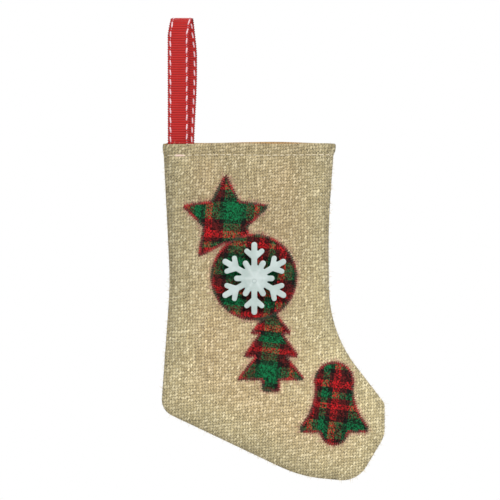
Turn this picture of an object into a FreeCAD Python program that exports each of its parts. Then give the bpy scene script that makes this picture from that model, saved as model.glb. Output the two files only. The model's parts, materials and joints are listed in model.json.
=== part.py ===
"""A small hanging stocking: hessian front and back panels, a ribbon loop, tartan patches and a snowflake.

Frame: the origin is the inside top of the ribbon loop, where a hook carries it.
+X points towards the toe, +Y to the back, +Z up. Millimetres.
"""
import FreeCAD, Part
import math
import os

V = FreeCAD.Vector

# Cloth pocket
CLOTH = 0.8                      # thickness of one ply of hessian
HEM = 5.5                        # depth of the turned hem at the mouth
HEM_STEP = 1.0                   # length over which the hem's raw edge thins out
MOUTH_Z = -58.0                  # top of the front hem
BACK_RISE = 0.5                  # how much higher the back hem stands
MOUTH_DEPTH = 5.4                # half depth of the open mouth
LEG_DEPTH = 6.0                  # half depth of the leg and foot
DEEPENS_BY = 0.35                # share of the way to the toe where the leg reaches its full depth
FULLNESS = 3.0                   # exponent of the pillow-shaped cross-section
TOE_STARTS = 0.70                # share of the way to the toe where the depth begins to close
RISE_FADES = 0.25                # share of the way to the toe where the back panel's rise has faded
TOE_PULL = 5                     # the higher, the nearer to the toe the lines across bend round it

# Outline seen from the front: (x, z, corner radius), from the mouth down the heel side
CORNERS = [
    (-8.3, MOUTH_Z, 0.0),
    (-5.2, -122.0, 160.0),
    (-9.4, -180.7, 8.0),
    (54.6, -211.1, 60.0),
    (81.2, -213.7, 13.0),
    (93.9, -192.4, 12.0),
    (93.9, -177.4, 5.0),
    (68.6, -144.5, 60.0),
    (67.9, -96.0, 400.0),
    (70.6, MOUTH_Z, 0.0),
]
SOLE_SEAM = 212.0                # seam length from the mouth, by the heel, to the toe arc
INSTEP_SEAM = 126.0              # seam length from the mouth, by the instep, to the toe arc
SEAM_PACE = 140.0                # both seams leave the mouth at this pace, so the hem lies level

# Points that the pocket's skins pass through
ACROSS_STEPS = 7                 # from a seam to the middle
LEG_STATIONS = 26
TOE_STATIONS = 10

# Ribbon loop
RIBBON = 10.0                    # width
PLY = 0.45                       # thickness
BIGHT = 3.0                      # inside radius of the fold that sits on the hook
FOLD_Z = -56.0                   # the ribbon's hinge line above the mouth
FOLD_Y = -0.15                   # and how far it lies in front of the seam plane
TWIST_Z = -27.0                  # level at which the loop's twist is split
TWIST_GAP = 0.3                  # clear on each side of the twist split
FOLD_GAP = 0.7                   # clear on each side of the fold, so that the plies can turn square
FRONT_PLY_X = -1.2               # centre of the front ply at the mouth
BACK_PLY_X = 1.75                # centre of the back ply at the mouth
PLY_GAP = 0.10                   # between the two plies at the mouth
TAIL_END_Z = -66.0               # where the sewn-in ends of the ribbon stop
SADDLE_PITCH = 4.4               # spacing of the white running stitches
SADDLE_DASH = 2.75               # length of one of them
SADDLE_INSET = 1.25              # from the ribbon's edge
SADDLE_START = 0.2               # share of a pitch before the first of them
SADDLE_R = 0.2

# Patches
FELT = 0.45                      # thickness of the tartan cloth
AIR = 0.05                       # clearance between plies
EDGE_THREAD = 0.25               # thickness of the zigzag
EDGE_WIDTH = 1.3                 # width of the zigzag
STAR_AT = (20.5, -92.8)
STAR_R = 20.5
STAR_WAIST = 0.50                # inner radius of the star over its outer radius
DISC_AT = (33.6, -119.1)
DISC_R = 19.3
TREE_AT = (41.4, -133.6)         # the tree's tip
TREE_W = 30.0
TREE_H = 37.6
BELL_AT = (70.4, -158.4)         # the bell's crown
BELL_W = 30.4
BELL_H = 37.6
WITHIN = 30.0                    # a patch's outline is carried this far forward to cut its layer

# Half widths and depths of the tree's corners, as shares of its width and height
TREE_TIERS = [
    (0.0, 0.0),
    (0.30, 0.30),
    (0.16, 0.30),
    (0.41, 0.58),
    (0.22, 0.58),
    (0.50, 0.86),
    (0.12, 0.86),
    (0.12, 1.0),
]

# The bell: shares of its half width, and depths as shares of its height
BELL_WAIST = 0.55
BELL_FLARE = 0.71                # half width where the skirt begins to flare
SHOULDER_DOWN = 0.30
FLARE_DOWN = 0.60
RIM_DOWN = 0.78
LIP_DOWN = 0.84
CLAPPER_R = 0.16                 # share of the height

# Snowflake
FLAKE_AT = (33.7, -119.7)
FLAKE_R = 16.7                   # from the centre to an arm's tip
FLAKE_THICK = 2.0
ARM_W = 2.7
BRANCH_W = 2.4
BRANCH_FROM = 9.4                # where a branch leaves its arm
BRANCH_TO = (12.5, 3.45)         # centre of a branch's round end, along and off the arm
PETAL_R = 9.3
PETAL_W = 2.65
HUB_R = 6.0
GLUE_R = 5.0
GLUE = 0.3

# Sewing thread
THREAD_R = 0.2
HEM_PITCH = 3.0                  # topstitch spacing
HEM_DASH = 2.2
HEM_LINE = 5.2                   # depth of the topstitching below the mouth
HEM_STOPS = 2.0                  # how far from the instep seam the topstitching ends
TACK_FROM = -3.2                 # the tack that holds the ribbon's ends runs from here along X
TACK_STITCHES = 2
SEAM_PITCH = 4.0
SEAM_DASH = 3.0
SEAM_FROM = 7.7                  # length along the seam from the mouth to its first stitch
SEAM_LANE = 2.2                  # how far inside the outline the seam's stitches lie
BEYOND = 60.0                    # a line along Y starts this far out when a skin's face is looked for


# ---------------------------------------------------------------- outline

def unit(a, b):
    """Unit vector from a to b."""
    return (b - a).normalize()


def filleted(corners):
    """A wire in the XZ plane through corners (x, z, radius), each corner rounded by its radius."""
    points = [V(x, 0, z) for x, z, r in corners]
    edges = []
    at = points[0]
    for i in range(1, len(points) - 1):
        radius = corners[i][2]
        back = unit(points[i], points[i - 1])
        ahead = unit(points[i], points[i + 1])
        half = back.getAngle(ahead) / 2
        reach = radius / math.tan(half)
        start = points[i] + back * reach
        end = points[i] + ahead * reach
        middle = points[i] + (back + ahead).normalize() * (radius / math.sin(half) - radius)
        edges.append(Part.LineSegment(at, start).toShape())
        edges.append(Part.Arc(start, middle, end).toShape())
        at = end
    edges.append(Part.LineSegment(at, points[-1]).toShape())
    return edges


OUTLINE = filleted(CORNERS)
OUTLINE_LENGTH = sum(e.Length for e in OUTLINE)


def on_outline(length):
    """The point at that length along the outline, and the inward normal there."""
    left = min(max(length, 0.0), OUTLINE_LENGTH)
    for edge in OUTLINE:
        if left <= edge.Length or edge is OUTLINE[-1]:
            at = edge.getParameterByLength(min(left, edge.Length))
            run = edge.tangentAt(at)
            return edge.valueAt(at), V(-run.z, 0, run.x)
        left -= edge.Length


def seam_point(length, inset):
    point, inward = on_outline(length)
    return point + inward * inset


# ---------------------------------------------------------------- pillow-shaped surfaces

def seam_lengths(v):
    """How far along the heel side and along the instep side a station v lies, 0 mouth to 1 toe."""
    sole = SEAM_PACE * v + (SOLE_SEAM - SEAM_PACE) * v * v
    instep = SEAM_PACE * v + (INSTEP_SEAM - SEAM_PACE) * v * v
    return sole, OUTLINE_LENGTH - instep


def half_depth(v):
    """Half depth of the pocket at station v, before any offset."""
    way = min(v / DEEPENS_BY, 1.0)
    opening = MOUTH_DEPTH + (LEG_DEPTH - MOUTH_DEPTH) * math.sin(math.pi / 2 * way)
    if v <= TOE_STARTS:
        return opening
    closing = (v - TOE_STARTS) / (1 - TOE_STARTS)
    return opening * math.sqrt(max(0.0, 1 - closing * closing))


def across(share, v, inset):
    """A point of the flat pocket: share 0 at the heel side to 1 at the instep side, station v."""
    sole, instep = seam_lengths(v)
    left = seam_point(sole, inset)
    right = seam_point(instep, inset)
    point = left + (right - left) * share
    toe_sole, toe_instep = seam_lengths(1.0)
    toe_left = seam_point(toe_sole, inset)
    toe_right = seam_point(toe_instep, inset)
    toe_arc = seam_point(toe_sole + (toe_instep - toe_sole) * share, inset)
    pull = toe_arc - (toe_left + (toe_right - toe_left) * share)
    return point + pull * v ** TOE_PULL


def profile(steps):
    """Shares across the pocket and depth factors of the pillow-shaped cross-section."""
    shares = []
    for i in range(2 * steps + 1):
        warp = 1 - abs(1 - i / steps)
        angle = math.pi / 2 * warp ** (FULLNESS / 2)
        side = 0.5 * max(0.0, math.cos(angle)) ** (2 / FULLNESS)
        share = 0.5 - side if i <= steps else 0.5 + side
        shares.append((share, math.sin(angle) ** (2 / FULLNESS)))
    return shares


def stations():
    """Stations from the mouth to the toe, close together at the hem's edge and at the closing toe."""
    hem = HEM / SEAM_PACE
    step = HEM_STEP / SEAM_PACE
    leg = hem * 2
    found = [0.0, hem / 2, hem - step / 2, hem, hem + step / 2, leg]
    for i in range(LEG_STATIONS):
        found.append(leg + (TOE_STARTS - leg) * (i + 1) / LEG_STATIONS)
    for i in range(TOE_STATIONS):
        turn = math.pi / 2 * (i + 1) / TOE_STATIONS
        found.append(TOE_STARTS + (1 - TOE_STARTS) * math.sin(turn))
    return found


def pillow(offset, side, hemmed=False):
    """One skin of the pocket, offset outwards by offset; side -1 is the front and +1 the back."""
    rows = []
    for v in stations():
        extra = 0.0
        if hemmed:
            past = (v * SEAM_PACE - HEM) / HEM_STEP
            extra = CLOTH * min(1.0, max(0.0, 0.5 - past))
        inset = extra - offset
        row = []
        for share, depth in profile(ACROSS_STEPS):
            point = across(share, v, inset)
            closing = max(0.0, half_depth(v) - inset) if v < 1 else 0.0
            point.y = side * closing * depth
            if side > 0:
                point.z += BACK_RISE * max(0.0, 1 - v / RISE_FADES)
            row.append(point)
        rows.append(row)
    return rows


def between(outer_rows, inner_rows):
    """The closed solid between two skins given as rows of points."""
    faces = []
    sides = []
    for rows in (outer_rows, inner_rows):
        surface = Part.BSplineSurface()
        surface.interpolate(rows)
        faces.append(surface.toShape())
        u0, u1, v0, v1 = surface.bounds()
        sides.append([
            surface.uIso(u0).toShape(),
            surface.uIso(u1).toShape(),
            surface.vIso(v0).toShape(),
            surface.vIso(v1).toShape(),
        ])
    for a, b in zip(*sides):
        faces.append(Part.makeRuledSurface(a, b))
    shell = Part.makeShell(faces)
    shell.sewShape()
    solid = Part.Solid(Part.Shell(shell.Faces))
    if solid.Volume < 0:
        solid.reverse()
    return solid


# ---------------------------------------------------------------- small helpers

def save(name, *solids):
    """Writes one node from its separate solids."""
    shape = solids[0] if len(solids) == 1 else Part.makeCompound(list(solids))
    shape.exportStep(f"parts/{name}.step")
    print(f"{name:26s} solids {len(shape.Solids):3d}  volume {shape.Volume:9.2f}  valid {shape.isValid()}")


def stitch(a, b, radius=THREAD_R):
    """A short round length of thread from a to b."""
    return Part.makeCylinder(radius, (b - a).Length, a, b - a)


def skin_face(offset, side=-1):
    surface = Part.BSplineSurface()
    surface.interpolate(pillow(offset, side))
    return surface.toShape()


# ---------------------------------------------------------------- pocket

def panel(side):
    """One hessian panel with its turned hem."""
    return between(pillow(0.0, side), pillow(-CLOTH, side, True))


def skin_point(face, side, x, z):
    """Where a line along Y at (x, z) meets that skin from outside."""
    line = Part.LineSegment(V(x, side * BEYOND, z), V(x, 0, z)).toShape()
    return face.distToShape(line)[1][0][0]


def row_of_stitches(side, first, count):
    """Topstitches along a hem from x = first, lying on its outer face."""
    face = skin_face(THREAD_R + AIR, side)
    z = MOUTH_Z - HEM_LINE + (BACK_RISE if side > 0 else 0.0)
    starts = [first + i * HEM_PITCH for i in range(count)]
    return [
        stitch(skin_point(face, side, x, z), skin_point(face, side, x + HEM_DASH, z))
        for x in starts
    ]


def hem_stitches(side):
    """The topstitching along a whole hem, left open at the front where the ribbon is tacked."""
    tack_end = TACK_FROM + TACK_STITCHES * HEM_PITCH
    first = tack_end if side < 0 else TACK_FROM
    last = CORNERS[-1][0] - HEM_STOPS
    return row_of_stitches(side, first, int((last - first) / HEM_PITCH))


def tack_stitches():
    """The tack through hem and ribbon ends: stitches on the hem's face and on the back tail's face."""
    found = row_of_stitches(-1, TACK_FROM, TACK_STITCHES)
    z = MOUTH_Z - HEM_LINE
    y = FOLD_Y + PLY_GAP / 2 + PLY + THREAD_R + AIR
    for i in range(TACK_STITCHES):
        x = TACK_FROM + i * HEM_PITCH
        found.append(stitch(V(x, y, z), V(x + HEM_DASH, y, z)))
    return found


def seam_stitches():
    """Stitches along the closing seam, inside the rim, from the mouth round the toe and back."""
    found = []
    for i in range(int((OUTLINE_LENGTH - 2 * SEAM_FROM) / SEAM_PITCH)):
        start = SEAM_FROM + i * SEAM_PITCH
        found.append(stitch(seam_point(start, SEAM_LANE), seam_point(start + SEAM_DASH, SEAM_LANE)))
    return found


# ---------------------------------------------------------------- ribbon loop

def plate(low, high, inward):
    """A flat length of ribbon: low and high are its outer face's end centres, inward is +1 or -1 along Y."""
    rings = []
    for centre in (low, high):
        half = V(RIBBON / 2, 0, 0)
        deep = V(0, inward * PLY, 0)
        ring = [centre - half, centre + half, centre + half + deep, centre - half + deep]
        rings.append(Part.makePolygon(ring + ring[:1]))
    return Part.makeLoft(rings, True, True)


def ply_point(side, z):
    """Centre of a ply's outer face at height z; side -1 is the front ply."""
    share = max(0.0, (z - FOLD_Z) / (-BIGHT - FOLD_Z))
    low_x = FRONT_PLY_X if side < 0 else BACK_PLY_X
    low_y = FOLD_Y + side * (PLY_GAP / 2 + PLY)
    high_y = side * (BIGHT + PLY)
    return V(low_x * (1 - share), low_y + (high_y - low_y) * share, z)


def ply(side, low_z, high_z):
    return plate(ply_point(side, low_z), ply_point(side, high_z), -side)


def bight():
    """The fold over the hook, with the upper part of both plies."""
    section = Part.makePolygon([
        V(-RIBBON / 2, BIGHT, -BIGHT),
        V(RIBBON / 2, BIGHT, -BIGHT),
        V(RIBBON / 2, BIGHT + PLY, -BIGHT),
        V(-RIBBON / 2, BIGHT + PLY, -BIGHT),
        V(-RIBBON / 2, BIGHT, -BIGHT),
    ])
    arch = Part.Face(section).revolve(V(0, 0, -BIGHT), V(1, 0, 0), 180)
    legs = [ply(side, TWIST_Z + TWIST_GAP, -BIGHT) for side in (-1, 1)]
    return arch.fuse(legs).removeSplitter()


def saddle_stitches(side, low_z, high_z):
    """White running stitches along both edges of a ply's outer face."""
    found = []
    for i in range(int((high_z - low_z) / SADDLE_PITCH)):
        z = high_z - (i + SADDLE_START) * SADDLE_PITCH
        for edge in (-1, 1):
            off = V(edge * (RIBBON / 2 - SADDLE_INSET), side * (SADDLE_R + AIR), 0)
            a = ply_point(side, z) + off
            b = ply_point(side, z - SADDLE_DASH) + off
            found.append(stitch(a, b, SADDLE_R))
    return found


# ---------------------------------------------------------------- tartan patches

def polygon(points):
    corners = [V(x, 0, z) for x, z in points]
    return Part.makePolygon(corners + corners[:1])


def star_outline():
    """Five broad points, one upwards."""
    points = []
    for i in range(10):
        radius = STAR_R if i % 2 == 0 else STAR_R * STAR_WAIST
        angle = math.radians(90 + 36 * i)
        points.append((STAR_AT[0] + radius * math.cos(angle), STAR_AT[1] + radius * math.sin(angle)))
    return polygon(points)


def disc_outline():
    circle = Part.Circle(V(DISC_AT[0], 0, DISC_AT[1]), V(0, 1, 0), DISC_R)
    return Part.Wire(circle.toShape())


def tree_outline():
    """A fir tree of three tiers on a short trunk."""
    x, tip = TREE_AT
    points = [(x + w * TREE_W, tip - d * TREE_H) for w, d in TREE_TIERS]
    points += [(x - w * TREE_W, tip - d * TREE_H) for w, d in reversed(TREE_TIERS[1:])]
    return polygon(points)


def bell_outline():
    """A hand bell: round crown, flaring skirt, straight lip and a half-round clapper."""
    x, top = BELL_AT
    half = BELL_W / 2
    waist = BELL_WAIST * half
    shoulder = top - SHOULDER_DOWN * BELL_H
    rim = top - RIM_DOWN * BELL_H
    lip = top - LIP_DOWN * BELL_H
    clapper = CLAPPER_R * BELL_H
    flare = V(BELL_FLARE * half, 0, top - FLARE_DOWN * BELL_H)
    edges = [Part.Arc(V(x - waist, 0, shoulder), V(x, 0, top), V(x + waist, 0, shoulder)).toShape()]
    for side in (1, -1):
        corners = [V(x + side * waist, 0, shoulder), V(x + side * half, 0, rim)]
        corners += [V(x + side * half, 0, lip), V(x + side * clapper, 0, lip)]
        edges.append(Part.Arc(corners[0], V(x + side * flare.x, 0, flare.z), corners[1]).toShape())
        edges.append(Part.LineSegment(corners[1], corners[2]).toShape())
        edges.append(Part.LineSegment(corners[2], corners[3]).toShape())
    ends = (V(x + clapper, 0, lip), V(x, 0, lip - clapper), V(x - clapper, 0, lip))
    edges.append(Part.Arc(*ends).toShape())
    return Part.Wire(Part.__sortEdges__(edges))


def prism(outline):
    """The outline carried through the front of the stocking."""
    return Part.Face(outline).extrude(V(0, -WITHIN, 0))


def layer(low, high):
    """The space between the front skin offset by low and by high."""
    return between(pillow(high, -1), pillow(low, -1))


def edge_band(outline):
    """A band of the zigzag's width centred on the outline."""
    outer = outline.makeOffset2D(EDGE_WIDTH / 2)
    inner = outline.makeOffset2D(-EDGE_WIDTH / 2)
    return prism(outer).cut(prism(inner))


# ---------------------------------------------------------------- snowflake

def bar(a, b, width):
    """A flat bar with round ends, in the XZ plane about the origin."""
    run = (b - a).normalize()
    off = V(-run.z, 0, run.x) * (width / 2)
    edges = [
        Part.LineSegment(a + off, b + off).toShape(),
        Part.Arc(b + off, b + run * (width / 2), b - off).toShape(),
        Part.LineSegment(b - off, a - off).toShape(),
        Part.Arc(a - off, a - run * (width / 2), a + off).toShape(),
    ]
    return Part.Face(Part.Wire(edges)).extrude(V(0, -FLAKE_THICK, 0))


def snowflake():
    """Six branched arms with petals between them, joined by a round hub."""
    bars = []
    for i in range(6):
        turn = math.radians(90 + 60 * i)
        along = V(math.cos(turn), 0, math.sin(turn))
        off = V(-along.z, 0, along.x)
        bars.append(bar(V(0, 0, 0), along * (FLAKE_R - ARM_W / 2), ARM_W))
        for side in (-1, 1):
            tip = along * BRANCH_TO[0] + off * (side * BRANCH_TO[1])
            bars.append(bar(along * BRANCH_FROM, tip, BRANCH_W))
        between_arms = V(math.cos(turn + math.pi / 6), 0, math.sin(turn + math.pi / 6))
        bars.append(bar(V(0, 0, 0), between_arms * (PETAL_R - PETAL_W / 2), PETAL_W))
    hub = Part.makeCylinder(HUB_R, FLAKE_THICK, V(0, 0, 0), V(0, -1, 0))
    return hub.fuse(bars).removeSplitter()


# ---------------------------------------------------------------- the nodes

def make_pocket():
    save("front_panel", panel(-1))
    save("back_panel", panel(1))
    save("front_hem_thread", *hem_stitches(-1))
    save("back_hem_thread", *hem_stitches(1))
    save("ribbon_tack_thread", *tack_stitches())
    save("closing_seam_thread", *seam_stitches())


def make_loop():
    top = TWIST_Z - TWIST_GAP
    bottom = FOLD_Z + FOLD_GAP
    save("ribbon_bight", bight())
    save("bight_saddle_stitches", *[
        s for side in (-1, 1) for s in saddle_stitches(side, TWIST_Z + TWIST_GAP, -BIGHT)])
    save("ribbon_front_leg", ply(-1, bottom, top))
    save("ribbon_back_leg", ply(1, bottom, top))
    save("leg_saddle_stitches", *[
        s for side in (-1, 1) for s in saddle_stitches(side, bottom, top)])
    save("ribbon_front_tail", ply(-1, TAIL_END_Z, FOLD_Z - FOLD_GAP))
    save("ribbon_back_tail", ply(1, TAIL_END_Z, FOLD_Z - FOLD_GAP))


def make_patches():
    """Star, disc, tree and bell, each overlapping the one before it, with its zigzag edge."""
    low = AIR
    high = AIR * 3 + FELT + EDGE_THREAD
    outlines = [
        ("star", star_outline(), low),
        ("disc", disc_outline(), high),
        ("tree", tree_outline(), low),
        ("bell", bell_outline(), high),
    ]
    for name, outline, start in outlines:
        cloth = layer(start, start + FELT)
        thread = layer(start + FELT + AIR, start + FELT + AIR + EDGE_THREAD)
        save(f"{name}_patch", prism(outline).common(cloth))
        save(f"{name}_edge_thread", edge_band(outline).common(thread))
    return high + FELT + AIR + EDGE_THREAD


def make_snowflake(patch_top):
    """The snowflake, held on the disc by a dot of glue."""
    x, z = FLAKE_AT
    y = skin_point(skin_face(patch_top), -1, x, z).y
    dot = Part.makeCylinder(GLUE_R, GLUE, V(x, y, z), V(0, -1, 0))
    save("snowflake_glue", dot)
    flake = snowflake()
    flake.translate(V(x, y - GLUE, z))
    save("snowflake", flake)


os.makedirs("parts", exist_ok=True)
make_pocket()
make_loop()
make_snowflake(make_patches())
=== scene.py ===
"""Looks of a small hanging hessian stocking with a ribbon loop, tartan patches and a plastic snowflake.

Metres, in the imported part's frame: origin at the inside top of the ribbon loop, +X to the toe,
+Y to the back, +Z up. Cloth is placed from its flat pattern (x, z): the pocket is inflated by a cloth
simulation, and patches, stitches and threads are laid on the simulated front.
"""
import json
import math

import bpy
import numpy as np
from mathutils import Matrix, Vector
from mathutils.bvhtree import BVHTree
from mathutils.geometry import delaunay_2d_cdt


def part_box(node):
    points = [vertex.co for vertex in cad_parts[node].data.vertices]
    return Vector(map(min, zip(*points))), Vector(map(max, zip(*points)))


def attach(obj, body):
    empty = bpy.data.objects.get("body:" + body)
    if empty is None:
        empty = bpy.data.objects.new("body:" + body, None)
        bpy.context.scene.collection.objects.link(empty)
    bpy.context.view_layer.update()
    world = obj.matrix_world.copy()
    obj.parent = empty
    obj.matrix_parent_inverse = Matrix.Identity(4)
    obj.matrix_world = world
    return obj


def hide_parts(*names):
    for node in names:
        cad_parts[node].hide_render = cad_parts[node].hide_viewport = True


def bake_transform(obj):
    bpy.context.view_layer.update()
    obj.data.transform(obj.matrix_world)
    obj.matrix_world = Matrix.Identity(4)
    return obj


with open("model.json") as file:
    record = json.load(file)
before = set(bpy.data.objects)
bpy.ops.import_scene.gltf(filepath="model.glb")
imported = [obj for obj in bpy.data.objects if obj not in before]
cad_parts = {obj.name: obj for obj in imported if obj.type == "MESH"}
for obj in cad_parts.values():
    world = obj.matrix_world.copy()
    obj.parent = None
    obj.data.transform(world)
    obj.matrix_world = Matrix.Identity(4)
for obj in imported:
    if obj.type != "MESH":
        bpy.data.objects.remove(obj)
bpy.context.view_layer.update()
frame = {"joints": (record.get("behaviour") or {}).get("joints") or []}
scene = bpy.context.scene
rng = np.random.default_rng(12)
MM = 0.001

# Places taken from the frame
MOUTH_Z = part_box("front_panel")[1].z
BACK_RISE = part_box("back_panel")[1].z - MOUTH_Z
TAIL_END_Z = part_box("ribbon_front_tail")[0].z
FLAKE_LOW, FLAKE_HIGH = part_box("snowflake")
GLUE_LOW, GLUE_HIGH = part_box("snowflake_glue")
FOLD = next(Vector(joint["pos_m"]) for joint in frame["joints"] if joint["name"] == "loop_fold")

# Hessian pocket
CLOTH = 0.8 * MM                  # thickness of one ply
HEM = 5.5 * MM
HEM_LINE = 5.2 * MM               # topstitching below the mouth
HEM_Z = MOUTH_Z - HEM_LINE
HEM_GAP = 0.86 * MM               # between the plies of a hem, centre to centre
HEM_STEP = 0.22 * MM              # how far the double cloth of a hem stands out
ALLOWANCE = 4.5 * MM              # seam allowance inside the pocket
TRIMMED = 1.5 * MM                # the allowance beside the ribbon's ends
TRIM_ENDS = (14 * MM, 24 * MM)    # seam lengths over which the trimmed allowance widens
TURN = 0.42 * MM                  # radius at which the cloth turns at the seam
MOUTH_WIDTH = 79 * MM
RIM_FADE = 28 * MM                # the rim's rise and drop fade out over this length below the mouth
CORNER_DROP = 0.35 * MM           # the mouth's corner under the ribbon hangs lower
MOUTH_LIFT = 0.15 * MM            # the soft rims stand a little higher away from the corners
MOUTH_WAVE = 0.22 * MM
BACK_ARCH = 0.75 * MM             # the back rim arches above the front one in the middle
EARS = (-0.35 * MM, 0.85 * MM)    # how far the hem's ends stand out sideways, at the sole and instep seams
DEPTH = 4.7 * MM                  # how far the leg's middle stands out beyond its seam
MOUTH_SHARE = 0.86                # depth at the mouth over that of the leg
FULL_FROM = 0.35                  # where along the sock its full depth begins
TOE_STARTS = 0.70                 # where along the sock the depth starts to close
TOE_PULL = 5                      # power by which lines across the sock take up the toe's curve
CORNERS = [                       # outline seen from the front: x, z, corner radius
    (-8.3 * MM, MOUTH_Z, 0.0),
    (-5.2 * MM, -122.0 * MM, 160.0 * MM),
    (-9.4 * MM, -180.7 * MM, 8.0 * MM),
    (54.6 * MM, -211.1 * MM, 60.0 * MM),
    (81.2 * MM, -213.7 * MM, 13.0 * MM),
    (93.9 * MM, -192.4 * MM, 12.0 * MM),
    (93.9 * MM, -177.4 * MM, 5.0 * MM),
    (68.6 * MM, -144.5 * MM, 60.0 * MM),
    (67.9 * MM, -96.0 * MM, 400.0 * MM),
    (70.6 * MM, MOUTH_Z, 0.0),
]
SOLE_SEAM = 212.0 * MM            # seam length from the mouth, by the heel, to the toe arc
INSTEP_SEAM = 126.0 * MM          # seam length from the mouth, by the instep, to the toe arc
SEAM_PACE = 140.0 * MM            # seam length passed for v from 0 to 1 at the pace of the mouth
WARP = 1.34 * MM                  # spacing of the hessian's upright threads
WEFT = 1.45 * MM                  # spacing of its level threads

# Ribbon
RIBBON = 10.0 * MM
PLY = 0.45 * MM
BIGHT = 3.0 * MM                  # inside radius of the fold over the hook
FRONT_PLY_X = -1.2 * MM
BACK_PLY_X = 1.75 * MM
PLY_GAP = 0.10 * MM
RIB = 1.1 * MM                    # spacing of the grosgrain's cross ribs
RIB_HEIGHT = 0.055 * MM
SADDLE_PITCH = 4 * RIB
SADDLE_DASH = 2.75 * MM
SADDLE_INSET = 1.25 * MM
SPLIT_Z = -48.0 * MM              # the upper ribbon piece ends and the lower pieces begin about here

# Patches
FELT = 0.45 * MM
STEP = 0.22 * MM                  # a stitched edge adds this to the patch that covers it
ZIGZAG_WIDTH = 1.5 * MM
ZIGZAG_PITCH = 1.0 * MM
ZIGZAG_R = 0.19 * MM
OUTLINE_STEP, PATCH_STEP = 0.35 * MM, 0.75 * MM       # spacing of a patch's points round it and inside it
STAR_AT, STAR_R, STAR_WAIST = (20.5 * MM, -92.8 * MM), 20.5 * MM, 0.50
DISC_AT, DISC_R = (33.6 * MM, -119.1 * MM), 19.3 * MM
TREE_AT, TREE_W, TREE_H = (41.4 * MM, -133.6 * MM), 30.0 * MM, 37.6 * MM
TREE_STEPS = [(0, 0), (.30, .30), (.16, .30), (.41, .58), (.22, .58), (.50, .86), (.12, .86), (.12, 1.0)]
BELL_AT, BELL_W, BELL_H = (70.4 * MM, -158.4 * MM), 30.4 * MM, 37.6 * MM
BELL_WAIST, BELL_FLARE, CLAPPER_R = 0.55, 0.71, 0.16
SHOULDER_DOWN, FLARE_DOWN, RIM_DOWN, LIP_DOWN = 0.30, 0.60, 0.78, 0.84

# Sewing threads and the snowflake
THREAD_R, TACK_R = 0.2 * MM, 0.15 * MM
STITCH_SINK = 0.35 * MM           # how deep a stitch's ends go into the cloth
FLAKE_AT = ((FLAKE_LOW.x + FLAKE_HIGH.x) / 2, (FLAKE_LOW.z + FLAKE_HIGH.z) / 2)
FLAKE_R, FLAKE_THICK, GLUE = 16.7 * MM, 2.0 * MM, 0.3 * MM
ARM_W, BRANCH_W, PETAL_W, HUB_R, PETAL_R = 2.7 * MM, 2.4 * MM, 2.65 * MM, 6.0 * MM, 9.3 * MM
BRANCH_FROM, BRANCH_TO = 9.4 * MM, (12.5 * MM, 3.45 * MM)
DISH_R = 4.1 * MM                 # a low rim on the hub and the shallow dish inside it


# ---------------------------------------------------------------- meshes

def new_mesh(name, points, faces, uv=None, seam=None):
    """A smooth mesh object from points and faces; uv and seam are one pair for each point."""
    mesh = bpy.data.meshes.new(name)
    mesh.from_pydata([tuple(p) for p in points], [], [tuple(f) for f in faces])
    for kind, pairs in (("cloth", uv), ("seam", seam)):
        if pairs is not None:
            layer = mesh.uv_layers.new(name=kind)
            corner = np.zeros(len(mesh.loops), np.int32)
            mesh.loops.foreach_get("vertex_index", corner)
            layer.data.foreach_set("uv", np.asarray(pairs, float)[corner].ravel())
    mesh.polygons.foreach_set("use_smooth", [True] * len(mesh.polygons))
    mesh.update()
    made = bpy.data.objects.new(name, mesh)
    scene.collection.objects.link(made)
    return made


def grid_faces(rows, columns, around=False, first=0):
    """Quads of a grid of points; around joins the last column to the first."""
    r, c = np.meshgrid(np.arange(rows - 1), np.arange(columns if around else columns - 1), indexing="ij")
    d = (c + 1) % columns
    a = first + r * columns
    return np.stack([a + c, a + d, a + columns + d, a + columns + c], -1).reshape(-1, 4).tolist()


def slab_faces(top, rim, count):
    """Faces of a slab: its top, the same on an underside count points later, and walls on the rim."""
    under = [[i + count for i in f[::-1]] for f in top]
    return top + under + [[b, a, a + count, b + count] for a, b in rim]


def modify(made, kind, **settings):
    """Adds a modifier to an object and applies it to its mesh."""
    modifier = made.modifiers.new(kind, kind)
    for key, value in settings.items():
        setattr(modifier, key, value)
    graph = bpy.context.evaluated_depsgraph_get()
    mesh = bpy.data.meshes.new_from_object(made.evaluated_get(graph), depsgraph=graph)
    made.modifiers.clear()
    made.data = mesh
    return made


def unit(vectors):
    """Vectors scaled to a length of one."""
    return vectors / (np.linalg.norm(vectors, axis=-1, keepdims=True) + 1e-12)


def left_of(run):
    """Unit vectors to the left of runs in a plane."""
    run = unit(run)
    return np.stack([-run[..., 1], run[..., 0]], -1)


def spokes(turn):
    """Unit vectors of a plane at those angles."""
    return np.stack([np.cos(turn), np.sin(turn)], -1)


def at_length(length, lengths, values):
    """Values along a line at a length, from the ones known at some lengths."""
    return np.stack([np.interp(length, lengths, column) for column in values.T], -1)


def stand(xz, y):
    """3-D points from points (x, z) and their y."""
    return np.stack([xz[..., 0], np.broadcast_to(y, xz.shape[:-1]), xz[..., 1]], -1)


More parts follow.
